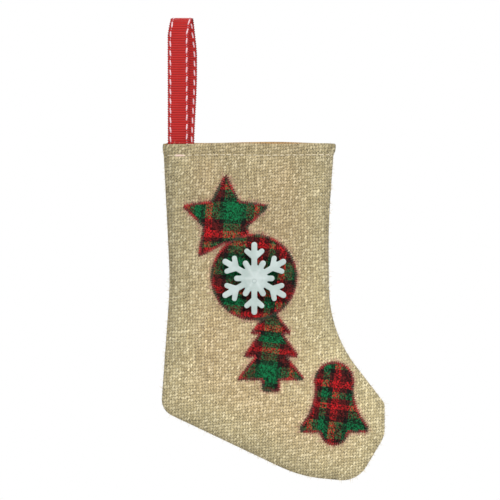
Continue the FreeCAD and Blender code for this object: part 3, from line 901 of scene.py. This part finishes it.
def fibres(name, starts, ways, lengths, radius, seed):
    """Short curled fibres that stand off the front at points (x, z)."""
    made = np.random.default_rng(seed)
    pile = Pile()
    t = np.linspace(0, 1, 7)[:, None]
    for start, way, length in zip(FRONT.at(starts, -0.1 * MM), ways, lengths):
        bend = made.normal(size=3) * [1, 0.5, 1] * length * 0.5
        curl = made.normal(size=3) * [1, 0.5, 1] * length * 0.25
        line = start + way * length * t + bend * t ** 2 + curl * t ** 3
        pile.add(tube(line, radius * (1.1 - 0.8 * t[:, 0]), 4))
    return pile.mesh(name)


EDGE_FIBRES, MOUTH_FIBRES, FACE_FIBRES = 900, 70, 420


def hessian_fibres():
    """Fibres round the outline, the mouth and the face of the front panel."""
    made = np.random.default_rng(41)
    s = made.uniform(2 * MM, SEAM_LENGTH - 2 * MM, EDGE_FIBRES)
    edge = seam_point(s, 0.35 * MM)
    out = stand(unit(edge - seam_point(s, 1.0 * MM)), made.uniform(-1, 0.6, EDGE_FIBRES))
    x = made.uniform(-7.5 * MM, 69 * MM, MOUTH_FIBRES)
    top = np.stack([x, np.full(MOUTH_FIBRES, MOUTH_Z - 0.7 * MM)], 1)
    up = [made.uniform(-0.5, 0.5, MOUTH_FIBRES), made.uniform(-0.6, 0.1, MOUTH_FIBRES), np.ones(MOUTH_FIBRES)]
    body = flat(made.uniform(0.04, 0.96, FACE_FIBRES), made.uniform(0.01, 0.97, FACE_FIBRES), TURN)
    off_x, off_y = made.normal(size=FACE_FIBRES), made.uniform(-0.5, -0.15, FACE_FIBRES)
    off = np.stack([off_x, off_y, made.normal(size=FACE_FIBRES)], 1)
    bare = np.all([depth_in(body, outline) < -1.0 * MM for outline in OUTLINES.values()], axis=0)
    starts = np.concatenate([edge, top, body[bare]])
    ways = np.concatenate([out, np.stack(up, 1), off[bare]])
    spans = ((0.3, 1.2, EDGE_FIBRES), (0.4, 1.3, MOUTH_FIBRES), (0.8, 2.2, bare.sum()))
    lengths = np.concatenate([made.uniform(*span) for span in spans])
    return fibres("hessian_stray_fibres", starts, ways, lengths * MM, 0.065 * MM, 42)


def edge_fibres(name, count, near, far, reach, seed):
    """For each patch, fibres that start near to far outside its outline and lean outward."""
    pieces = {}
    for key, outline in OUTLINES.items():
        made = np.random.default_rng(seed)
        pick = made.integers(0, len(outline), count)
        out = outward(outline)[pick]
        if depth_in(outline[pick] + out * 1.0 * MM, outline).mean() > 0:
            out = -out
        starts = outline[pick] + out * made.uniform(near, far, (count, 1))
        ways = stand(out, made.uniform(-0.9, -0.2, count))
        ways[:, [0, 2]] += made.normal(size=(count, 2)) * 0.6
        lengths = made.uniform(0.3 * reach, reach, count)
        pieces[key] = fibres(key + name, starts, ways, lengths, 0.055 * MM, seed + 10)
    return pieces


hessian_fuzz = hessian_fibres()
felt_fuzz = edge_fibres("_edge_fibres", 380, -0.5 * MM, 0.4 * MM, 1.4 * MM, 54)
lint = edge_fibres("_edge_lint", 460, 0.4 * MM, 1.1 * MM, 1.2 * MM, 71)


# ---------------------------------------------------------------- snowflake

def disc_face():
    """Foremost y of the disc patch under the flake, where the flake's glue dot starts."""
    spots = np.concatenate([arc(FLAKE_AT, r, 0, 350, 36) for r in (0.001 * MM, HUB_R / 2, HUB_R, 2 * HUB_R)])
    return float(FRONT.at(spots, felt_top("disc", spots))[:, 1].min())


FLAKE_BACK = disc_face() - GLUE


def prism(ring):
    """A slab of the flake's thickness over a ring of points (x, z)."""
    n = len(ring)
    points = [(p[0], y, p[1]) for y in (-FLAKE_THICK / 2, FLAKE_THICK / 2) for p in ring]
    faces = [list(range(n - 1, -1, -1)), list(range(n, 2 * n))]
    faces += [[i, (i + 1) % n, n + (i + 1) % n, n + i] for i in range(n)]
    return points, faces


def pill(a, b, width):
    """A flat bar with round ends from a to b, in the flake's plane."""
    ahead = math.degrees(math.atan2(b[1] - a[1], b[0] - a[0]))
    tip = arc(b, width / 2, ahead - 90, ahead + 90, 12)
    return prism(np.concatenate([tip, arc(a, width / 2, ahead + 90, ahead + 270, 12)]))


def build_snowflake():
    """Hub, six arms with two branches each and six petals, joined into one softened solid."""
    pile = Pile()
    pile.add(prism(arc((0, 0), HUB_R, 0, 352.5, 48)))
    petal = np.array([math.cos(math.radians(30)), math.sin(math.radians(30))]) * (PETAL_R - PETAL_W / 2)
    for number in range(6):
        turn = math.radians(90 + 60 * number)
        spin = np.array([[math.cos(turn), math.sin(turn)], [-math.sin(turn), math.cos(turn)]])
        pile.add(pill((0, 0), np.array([FLAKE_R - ARM_W / 2, 0]) @ spin, ARM_W))
        for side in (-1, 1):
            tip = np.array([BRANCH_TO[0], side * BRANCH_TO[1]]) @ spin
            pile.add(pill(np.array([BRANCH_FROM, 0]) @ spin, tip, BRANCH_W))
        pile.add(pill((0, 0), petal @ spin, PETAL_W))
    made = modify(pile.mesh("snowflake_plastic"), "REMESH", mode="VOXEL", voxel_size=0.24 * MM)
    points = np.array([p.co for p in made.data.vertices], float)
    reach = np.hypot(points[:, 0], points[:, 2])
    ring = 0.07 * MM * np.exp(-((reach - DISH_R) / (0.45 * MM)) ** 2)
    dish = 0.05 * MM * smoothstep(DISH_R - reach, 0, 1.5 * MM)
    points[:, 1] += np.where(points[:, 1] < -FLAKE_THICK * 0.3, dish - ring, 0)
    made.data.vertices.foreach_set("co", points.ravel())
    modify(made, "SMOOTH", factor=0.5, iterations=6)
    made.data.polygons.foreach_set("use_smooth", [True] * len(made.data.polygons))
    made.data.transform(Matrix.Translation((FLAKE_AT[0], FLAKE_BACK - FLAKE_THICK / 2, FLAKE_AT[1])))
    return made


def build_glue():
    """A squeezed-out dot of clear glue with an uneven rim."""
    turn = np.linspace(0, 2 * math.pi, 48, endpoint=False)
    radius = (GLUE_HIGH.x - GLUE_LOW.x) / 2 * (0.93 + 0.05 * np.sin(3 * turn + 1) + 0.03 * np.sin(5 * turn))
    middle = [(GLUE_LOW.x + GLUE_HIGH.x) / 2, (GLUE_LOW.z + GLUE_HIGH.z) / 2]
    reach = radius[:, None] * spokes(turn)
    profile = [                      # share of the radius, height towards the flake as a share
        (0.02, 1.0), (0.5, 1.0), (0.93, 1.0), (1.0, 0.72),
        (1.0, 0.35), (0.95, 0.0), (0.5, 0.0), (0.02, 0.0),
    ]
    rows = [
        stand(middle + reach * share, FLAKE_BACK + (GLUE + 0.1 * MM) * (1 - high))
        for share, high in profile
    ]
    faces = grid_faces(len(profile), 48, True)
    faces += [list(range(48)), list(range(7 * 48 + 47, 7 * 48 - 1, -1))]
    return new_mesh("glue_dot", np.concatenate(rows), faces)


snowflake = build_snowflake()
glue = build_glue()


# ---------------------------------------------------------------- materials

STUDIO = 0.79                        # colours' share of what a screen shows


class Wire:
    """A node's output socket that can be used in sums; each sum adds a node."""

    def __init__(self, finish, socket):
        self.finish, self.socket = finish, socket

    def __add__(self, other):
        return self.finish.math("ADD", self, other)

    def __sub__(self, other):
        return self.finish.math("SUBTRACT", self, other)

    def __rsub__(self, other):
        return self.finish.math("SUBTRACT", other, self)

    def __mul__(self, other):
        return self.finish.math("MULTIPLY", self, other)

    def __truediv__(self, other):
        return self.finish.math("DIVIDE", self, other)

    def __abs__(self):
        return self.finish.math("ABSOLUTE", self)


class Finish:
    """A node material; each call adds a node and returns its output."""

    def __init__(self, name, shader):
        self.made = bpy.data.materials.new(name)
        self.made.use_nodes = True
        self.tree = self.made.node_tree
        self.shader = self.tree.nodes["Principled BSDF"]
        for key, value in shader.items():
            self.shader.inputs[key].default_value = value

    def node(self, kind, inputs=(), out=0, **settings):
        made = self.tree.nodes.new("ShaderNode" + kind)
        for key, value in settings.items():
            setattr(made, key, value)
        for key, value in dict(inputs).items():
            self.put(made.inputs[key], value)
        return Wire(self, made.outputs[out])

    def put(self, socket, value):
        if isinstance(value, Wire):
            self.tree.links.new(value.socket, socket)
        else:
            socket.default_value = value

    def math(self, operation, a, b=0.0):
        return self.node("Math", {0: a, 1: b}, operation=operation)

    def noise(self, vector, scale, detail=2.0, roughness=0.5, colour=False):
        inputs = {"Vector": vector, "Scale": scale, "Detail": detail, "Roughness": roughness}
        return self.node("TexNoise", inputs, 1 if colour else 0)

    def random(self, *parts):
        return self.node("TexWhiteNoise", {"Vector": self.join(*parts)})

    def join(self, *parts):
        return self.node("CombineXYZ", dict(enumerate(parts)))

    def split(self, vector):
        made = self.node("SeparateXYZ", {0: vector}).socket.node
        return [Wire(self, socket) for socket in made.outputs]

    def uv(self, layer):
        return self.node("UVMap", uv_map=layer)

    def place(self):
        """Object coordinates."""
        return self.node("TexCoord", out=3)

    def mix(self, share, a, b):
        return self.node("Mix", {0: share, 6: a, 7: b}, 2, data_type="RGBA")

    def ramp(self, share, stops, constant=False):
        wire = self.node("ValToRGB", {0: share})
        ramp = wire.socket.node.color_ramp
        ramp.interpolation = "CONSTANT" if constant else "LINEAR"
        for number, (place, colour) in enumerate(stops):
            stop = ramp.elements[number] if number < 2 else ramp.elements.new(place)
            stop.position = place
            stop.color = colour
        return wire

    def range(self, value, low, high, to_low=0.0, to_high=1.0):
        inputs = {0: value, 1: low, 2: high, 3: to_low, 4: to_high}
        return self.node("MapRange", inputs, interpolation_type="SMOOTHSTEP")

    def shade(self, colour, share):
        """Colour times a grey share."""
        return self.node("VectorMath", {0: colour, "Scale": share}, operation="SCALE")

    def done(self, colour, height, depth, roughness=None):
        self.put(self.shader.inputs["Base Color"], colour)
        if roughness is not None:
            self.put(self.shader.inputs["Roughness"], roughness)
        bump = self.node("Bump", {"Height": height, "Distance": depth, "Strength": 1.0})
        self.put(self.shader.inputs["Normal"], bump)
        return self.made


def rgb(r, g, b):
    """Linear colour from the values 0-255 a screen shows, darkened for the studio's strong light."""
    def channel(value):
        value /= 255
        return STUDIO * (value / 12.92 if value <= 0.04045 else ((value + 0.055) / 1.055) ** 2.4)
    return (channel(r), channel(g), channel(b), 1.0)


def cloth_finish(name, *levels):
    """A finish with a cloth's roughness, sheen, roughness of that sheen and shine."""
    names = ("Roughness", "Sheen Weight", "Sheen Roughness", "Specular IOR Level")
    return Finish(name, dict(zip(names, levels)))


def plain_weave(f, a, b):
    """Height, upright-on-top share and thread numbers of a plain weave at thread coordinates a and b."""
    in_a, in_b = f.math("FRACT", a), f.math("FRACT", b)
    ia, ib = f.math("FLOOR", a), f.math("FLOOR", b)
    wide_a = f.range(f.noise(f.join(ia * 3.7, b * 0.11, 0.0), 1.0), 0.25, 0.75, 0.58, 1.00)
    wide_b = f.range(f.noise(f.join(a * 0.11, ib * 5.3, 7.0), 1.0), 0.25, 0.75, 0.60, 1.04)

    def dome(share, wide):
        off = abs(share - 0.5) / (wide * 0.5)
        return f.math("SQRT", f.math("MAXIMUM", 1.0 - off * off, 0.0))

    sin_a, sin_b = f.math("SINE", a * math.pi), f.math("SINE", b * math.pi)
    over_a = f.math("SIGN", sin_a) * sin_b * 0.34 + 0.66
    over_b = 0.44 - f.math("SIGN", sin_b) * sin_a * 0.34
    high_a = dome(in_a - (in_b - 0.5) * 0.46, wide_a) * over_a
    high_b = dome(in_b - (in_a - 0.5) * 0.16, wide_b) * over_b
    return f.math("MAXIMUM", high_a, high_b), f.math("GREATER_THAN", high_a, high_b), ia, ib


def make_hessian(name, rim=None):
    """Hessian of uneven spun threads, with painted shade in the weave's gaps, painted highlight on the thread
    crowns, painted shade along the seams and painted light towards the toe; rim is a painted shade colour
    along the fold over the mouth, for the shadowed inside of the turned edge.
    """
    f = cloth_finish(name, 0.88, 0.12, 0.5, 0.25)
    uv = f.uv("cloth")
    flat_x, flat_z, _ = f.split(uv)
    wobble = f.split(f.noise(uv, 90.0, 2, colour=True))
    fine = f.split(f.noise(uv, 420.0, 1, colour=True))
    x = flat_x + ((wobble[0] - 0.5) * (1.6 * MM) + (fine[0] - 0.5) * (0.8 * MM))
    z = flat_z + ((wobble[1] - 0.5) * (1.8 * MM) + (fine[1] - 0.5) * (1.3 * MM)) - x * 0.10
    a, b = x * (1 / WARP), z * (1 / WEFT)
    top, upright, ia, ib = plain_weave(f, a, b)

    def on_top(place_a, place_b):
        """Noise that runs along the thread on top."""
        by_a, by_b = (f.noise(f.join(*place), 1.0, 3, 0.6) for place in (place_a, place_b))
        return by_a * upright + by_b * (1.0 - upright)

    tint = on_top((ia * 7.13, b * 0.22, 3.0), (a * 0.22, ib * 9.31, 5.0))
    streak = on_top((a * 11.0, b * 1.3, 0.0), (a * 1.3, b * 11.0, 0.0))
    tone = tint * 0.26 + streak * 0.54 + f.random(ia, ib, upright) * 0.20
    seam = f.split(f.uv("seam"))[0]
    cool = f.ramp(tone, [(0.22, rgb(114, 101, 69)), (0.50, rgb(180, 166, 126)), (0.78, rgb(233, 222, 186))])
    warm = f.ramp(tone, [(0.22, rgb(118, 99, 67)), (0.50, rgb(184, 163, 122)), (0.78, rgb(239, 220, 183))])
    warmth = f.range(seam, 2 * MM, 22 * MM) * f.range(f.noise(uv, 26.0), 0.30, 0.66, 0.35, 1.0)
    pulled = f.range(f.noise(f.join(ia * 2.3, b * 0.05, 11.0), 1.0, 1), 0.56, 0.66, 0.0, 0.16)
    yarn = f.shade(f.mix(warmth, cool, warm), pulled * upright + 0.98)
    # painted shade in the gaps between threads and painted highlight on the thread crowns, taken from the
    # weave's height
    gap_shade_level = f.range(f.noise(uv, 700.0, 1), 0.36, 0.66, 0.74, 0.30)
    weave_shade = (gap_shade_level + (1.0 - gap_shade_level) * f.range(top, 0.02, 0.60)) * f.range(top, 0.55, 1.0, 0.94, 1.20)
    # painted light: the colour is lighter towards the toe and darker towards the mouth
    painted_light_to_toe = f.range(z, -0.200, -0.080, 1.27, 0.93)
    patchy = f.range(f.noise(uv, 16.0), 0.3, 0.7, 0.94, 1.05)
    # painted shade: darker within 5 mm of the seams, where the pocket's sides curve away
    edge = f.range(seam, 0.0, 5.0 * MM, 0.80, 1.0)
    turned = f.range(flat_z, HEM_Z - 0.4 * MM, HEM_Z + 0.3 * MM, 1.0, 0.92)
    colour = f.shade(f.shade(yarn, weave_shade), turned * edge * (painted_light_to_toe * patchy))
    # painted shade: rim darkens a thin band along the fold over the mouth, for the shadowed inside of the
    # turned edge
    if rim:
        off = abs(flat_z - (MOUTH_Z + 0.4 * MM))
        near = f.range(off, 0.30 * MM, 0.85 * MM, 0.85, 0.0) * f.range(streak, 0.25, 0.75, 0.6, 1.1)
        colour = f.mix(near, colour, rim)
    return f.done(colour, top + streak * 0.22, 0.42 * MM)


def make_ribbon(name):
    """Grosgrain with fine filaments across its ribs, painted shade in its rib valleys and a darker picot
    edge.
    """
    f = cloth_finish(name, 0.42, 0.04, 0.35, 0.22)
    across, along, _ = f.split(f.uv("cloth"))
    rib = f.math("COSINE", along * (2 * math.pi / RIB))
    filament = f.noise(f.join(across * 9000.0, along * 900.0, 0.0), 1.0)
    tone = f.noise(f.join(across * 120.0, f.math("FLOOR", along * (1 / RIB)) * 3.3, 0.0), 1.0)
    # rib * 0.20 paints shade in the rib valleys and highlight on the rib crowns
    share = rib * 0.20 + filament * 0.35 + tone * 0.35
    red = f.ramp(share, [(0.05, rgb(132, 8, 6)), (0.36, rgb(165, 11, 8)), (0.75, rgb(190, 26, 15))])
    edge = f.range(abs(across), 4.30 * MM, 4.9 * MM, 0.0, 0.85)
    colour = f.mix(edge * f.range(rib, -0.6, 0.7, 1.0, 0.40), red, rgb(84, 10, 18))
    return f.done(colour, filament * 0.5 + rib * 0.35, 0.05 * MM)


SETT = [                             # the tartan's stripes and their widths in millimetres
    ("r", 3.2), ("m", 3.4), ("k", 1.8), ("g", 8.0), ("k", 2.2),
    ("m", 3.6), ("r", 2.4), ("m", 2.4), ("g", 3.0), ("k", 2.0),
]
DYES = {"r": rgb(160, 20, 24), "m": rgb(76, 18, 18), "g": rgb(8, 88, 50), "k": rgb(22, 20, 16)}
TARTAN_THREAD = 0.44 * MM


def make_tartan(name, tilt, shift):
    """Tartan of two threads over two; tilt in degrees, shift in mm moves the sett across and down."""
    f = cloth_finish(name, 0.82, 0.03, 0.6, 0.08)
    x, z, _ = f.split(f.uv("cloth"))
    c, s = math.cos(math.radians(tilt)), math.sin(math.radians(tilt))
    lines = (x * c + z * s, z * c - x * s)
    fuzz = f.split(f.noise(f.join(*lines, 0.0), 1500.0, colour=True))
    lines = [line + (part - 0.5) * (0.35 * MM) for line, part in zip(lines, fuzz)]
    widths = [width for _, width in SETT]
    period = sum(widths) * MM
    stops = [(sum(widths[:n]) * MM / period, DYES[key]) for n, (key, _) in enumerate(SETT)]
    ways = [
        f.ramp(f.math("FRACT", (line + (off * MM + 1.0)) * (1 / period)), stops, True)
        for line, off in zip(lines, shift)
    ]
    i, j = (f.math("FLOOR", line * (1 / TARTAN_THREAD)) for line in lines)
    twill = f.math("FRACT", (i + j) * 0.25)
    pick = f.math("LESS_THAN", twill * 0.45 + f.random(i, j, 5.0) * 0.75, 0.56)
    place = f.join(*lines, 0.0)
    share = f.random(i, j, 2.0) * 0.5 + f.noise(place, 900.0, 3, 0.6) * 0.5
    colour = f.shade(f.mix(pick * 0.60 + 0.20, *ways), f.range(share, 0.24, 0.76, 0.10, 1.66))
    return f.done(colour, abs(twill - 0.5) * 0.9 + f.noise(place, 3200.0) * 0.8, 0.12 * MM)


def make_thread(name, dark, light, scale=900.0, roughness=0.6, sheen=0.2, flecks=()):
    """Spun thread: tone that changes along it, flecks of other colours and fine fibres in its relief."""
    f = Finish(name, {"Roughness": roughness, "Sheen Weight": sheen})
    place = f.place()
    tone = f.noise(place, scale, 3, 0.6)
    colour = f.ramp(tone, [(0.30, dark), (0.70, light)])
    for reach, fleck_dark, fleck_light in flecks:
        fleck = f.ramp(tone, [(0.30, fleck_dark), (0.70, fleck_light)])
        colour = f.mix(f.range(f.noise(place, 190.0), *reach), colour, fleck)
    return f.done(colour, f.noise(place, scale * 4), 0.06 * MM)


def make_plastic(name):
    """Frosted plastic with faint flow marks and ridges that meet at a gate mark; the ridges carry a painted
    highlight.
    """
    f = Finish(name, {
        "Roughness": 0.34, "Specular IOR Level": 0.5,
        "Subsurface Weight": 0.35, "Subsurface Radius": (0.6, 0.8, 0.8), "Subsurface Scale": 0.8 * MM,
    })
    place = f.place()
    cloud = f.noise(place, 160.0, 3)
    x, _, z = f.split(place)
    x, z = x - FLAKE_AT[0], z - FLAKE_AT[1]
    reach = f.math("SQRT", x * x + z * z)
    turn = abs(f.math("SINE", f.math("ARCTAN2", z, x) * 3.0))
    ridge_and_highlight = f.range(turn * reach, 0.0, 3.2 * MM, 0.6, 0.0) * f.range(reach, 3.0 * MM, 8.0 * MM, 1.0, 0.1)
    low = f.math("SQRT", x * x + f.math("POWER", z + 1.2 * MM, 2.0))
    gate = f.range(abs(low - 0.9 * MM), 0.1 * MM, 0.35 * MM, 0.5, 0.0)
    base = f.ramp(cloud, [(0.35, rgb(168, 182, 178)), (0.65, rgb(186, 198, 195))])
    # the ridges are coloured lighter: a painted highlight
    colour = f.mix(gate, f.mix(ridge_and_highlight, base, rgb(196, 206, 204)), rgb(140, 156, 152))
    grain = f.noise(place, 1800.0) * 0.3 + ridge_and_highlight * 2.0
    return f.done(colour, grain, 0.06 * MM, f.range(cloud, 0.3, 0.7, 0.30, 0.42))


def make_glue(name):
    f = Finish(name, {"Roughness": 0.15, "Transmission Weight": 0.85, "IOR": 1.48})
    cloud = f.noise(f.place(), 700.0)
    return f.done(f.ramp(cloud, [(0.3, rgb(228, 224, 205)), (0.7, rgb(244, 242, 232))]), cloud, 0.03 * MM)


hessian = make_hessian("hessian")
# the back panel's rim colour is painted shade for the shadowed inside of its turned edge
hessian_back = make_hessian("hessian_back", rgb(182, 138, 84))
grosgrain = make_ribbon("grosgrain")
TARTANS = {
    "star": make_tartan("tartan_star", -3.0, (8.0, 28.0)),
    "disc": make_tartan("tartan_disc", -5.0, (1.4, 20.4)),
    "tree": make_tartan("tartan_tree", -7.0, (9.0, 2.0)),
    "bell": make_tartan("tartan_bell", -7.0, (30.0, 24.0)),
}
RED_FLECKS = [                       # brighter red and deep green places
    ((0.50, 0.62), rgb(92, 14, 14), rgb(206, 34, 34)),
    ((0.38, 0.48, 0.85, 0.0), rgb(12, 18, 12), rgb(30, 78, 46)),
]
red_thread = make_thread("zigzag_thread", rgb(34, 8, 10), rgb(150, 24, 32), 800.0, 0.75, 0.02, RED_FLECKS)
white_thread = make_thread("saddle_thread", rgb(206, 140, 152), rgb(232, 208, 212), 1200.0)
tan_thread = make_thread("sewing_thread", rgb(196, 180, 146), rgb(232, 219, 190))
pale_thread = make_thread("tack_thread", rgb(206, 176, 160), rgb(232, 208, 196))
fibre = make_thread("hessian_fibre", rgb(190, 170, 128), rgb(240, 226, 196))
red_fibre = make_thread("felt_fibre", rgb(116, 26, 32), rgb(214, 150, 134), 500.0, 0.7, 0.05)
pale_fibre = make_thread("lint_fibre", rgb(206, 130, 116), rgb(240, 200, 180), 500.0, 0.7, 0.05)
plastic = make_plastic("frosted_plastic")
clear_glue = make_glue("glue")


# ---------------------------------------------------------------- materials, bodies and hidden parts

def dress(made, material, body=None, nodes=()):
    """Gives a piece its material, and says what it rides and replaces."""
    made.data.materials.clear()
    made.data.materials.append(material)
    if body:
        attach(made, body)
    if nodes:
        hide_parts(*nodes)


dress(front, hessian, "stocking", ["front_panel"])
dress(back, hessian_back, "stocking", ["back_panel"])
dress(front_hem, tan_thread, "stocking", ["front_hem_thread"])
dress(back_hem, tan_thread, "stocking", ["back_hem_thread"])
dress(closing, tan_thread, "stocking", ["closing_seam_thread"])
dress(tack_stitches, pale_thread, "stocking", ["ribbon_tack_thread"])
dress(hessian_fuzz, fibre, "stocking")
dress(snowflake, plastic, "stocking", ["snowflake"])
dress(glue, clear_glue, "stocking", ["snowflake_glue"])
for key in OUTLINES:
    dress(patches[key], TARTANS[key], "stocking", [key + "_patch"])
    dress(zigzags[key], red_thread, "stocking", [key + "_edge_thread"])
    dress(felt_fuzz[key], red_fibre, "stocking")
    dress(lint[key], pale_fibre, "stocking")

dress(ribbon["upper"], grosgrain, nodes=["ribbon_bight", "ribbon_front_leg", "ribbon_back_leg"])
dress(ribbon["front_end"], grosgrain, nodes=["ribbon_front_tail"])
dress(ribbon["back_end"], grosgrain, nodes=["ribbon_back_tail"])
dress(saddle["upper"], white_thread, nodes=["bight_saddle_stitches", "leg_saddle_stitches"])
dress(saddle["front_end"], white_thread)
dress(saddle["back_end"], white_thread)
for made in (ribbon["upper"], saddle["upper"]):
    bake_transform(made)
for key in ("front_end", "back_end"):
    for made in (ribbon[key], saddle[key]):
        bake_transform(made)

CUT_AREA = area_of(SEAM_XZ) + SEAM_LENGTH * ALLOWANCE + MOUTH_WIDTH * HEM
for key, (start, end) in PARTS.items():
    end - start
    "folded" if key == "upper" else "hung"
    ["ribbon_upper"] if key != "upper" else []
for key, outline in OUTLINES.items():
    size = outline.max(0) - outline.min(0)


# ---------------------------------------------------------------- stage, light and camera

def make_floor():
    """A pale round floor well below the toe."""
    turn = np.linspace(0, 2 * math.pi, 96, endpoint=False)
    rings = [
        np.stack([0.03 + r * np.cos(turn), r * np.sin(turn), np.full(96, -0.30)], 1)
        for r in (0.55, 0.3, 0.02)
    ]
    made = new_mesh("floor", np.concatenate(rings), grid_faces(3, 96, True) + [list(range(192, 288))])
    f = Finish("floor_paint", {"Roughness": 0.7})
    place = f.place()
    tone = f.ramp(f.noise(place, 30.0, 3), [(0.3, (0.60, 0.60, 0.59, 1)), (0.7, (0.64, 0.64, 0.63, 1))])
    made.data.materials.append(f.done(tone, f.noise(place, 500.0), 0.1 * MM))


make_floor()
world = scene.world or bpy.data.worlds.new("studio")
scene.world = world
world.use_nodes = True
world.node_tree.nodes["Background"].inputs[0].default_value = (1, 1, 1, 1)
world.node_tree.nodes["Background"].inputs[1].default_value = 1.0

MIDDLE = Vector((0.035, 0, -0.11))
LAMPS = [                            # name, place, size, watts
    ("key", Vector((0.36, -0.80, 0.42)), 0.30, 8.0),
    ("fill", Vector((-0.7, -0.6, 0.05)), 0.6, 0.5),
    ("back", Vector((0.1, 0.8, 0.5)), 0.5, 2.5),
]
for name, place, size, watts in LAMPS:
    lamp = bpy.data.objects.new(name, bpy.data.lights.new(name, "AREA"))
    scene.collection.objects.link(lamp)
    lamp.data.shape = "DISK"
    lamp.data.size = size
    lamp.data.energy = watts
    lamp.location = place
    lamp.rotation_mode = "QUATERNION"
    lamp.rotation_quaternion = (MIDDLE - place).to_track_quat("-Z", "Y")
scene.view_settings.view_transform = "Standard"
scene.view_settings.look = "None"

FRAME_W, FAR = 0.230, 1.2
camera = bpy.data.objects.new("camera", bpy.data.cameras.new("camera"))
scene.collection.objects.link(camera)
camera.data.sensor_width = 36.0
camera.data.lens = 36.0 * FAR / FRAME_W
camera.data.clip_start, camera.data.clip_end = 0.05, 20.0
camera.location = (31.74 * MM, -FAR - 4 * MM, -106.7 * MM)
camera.rotation_euler = (math.pi / 2, 0, 0)
scene.camera = camera
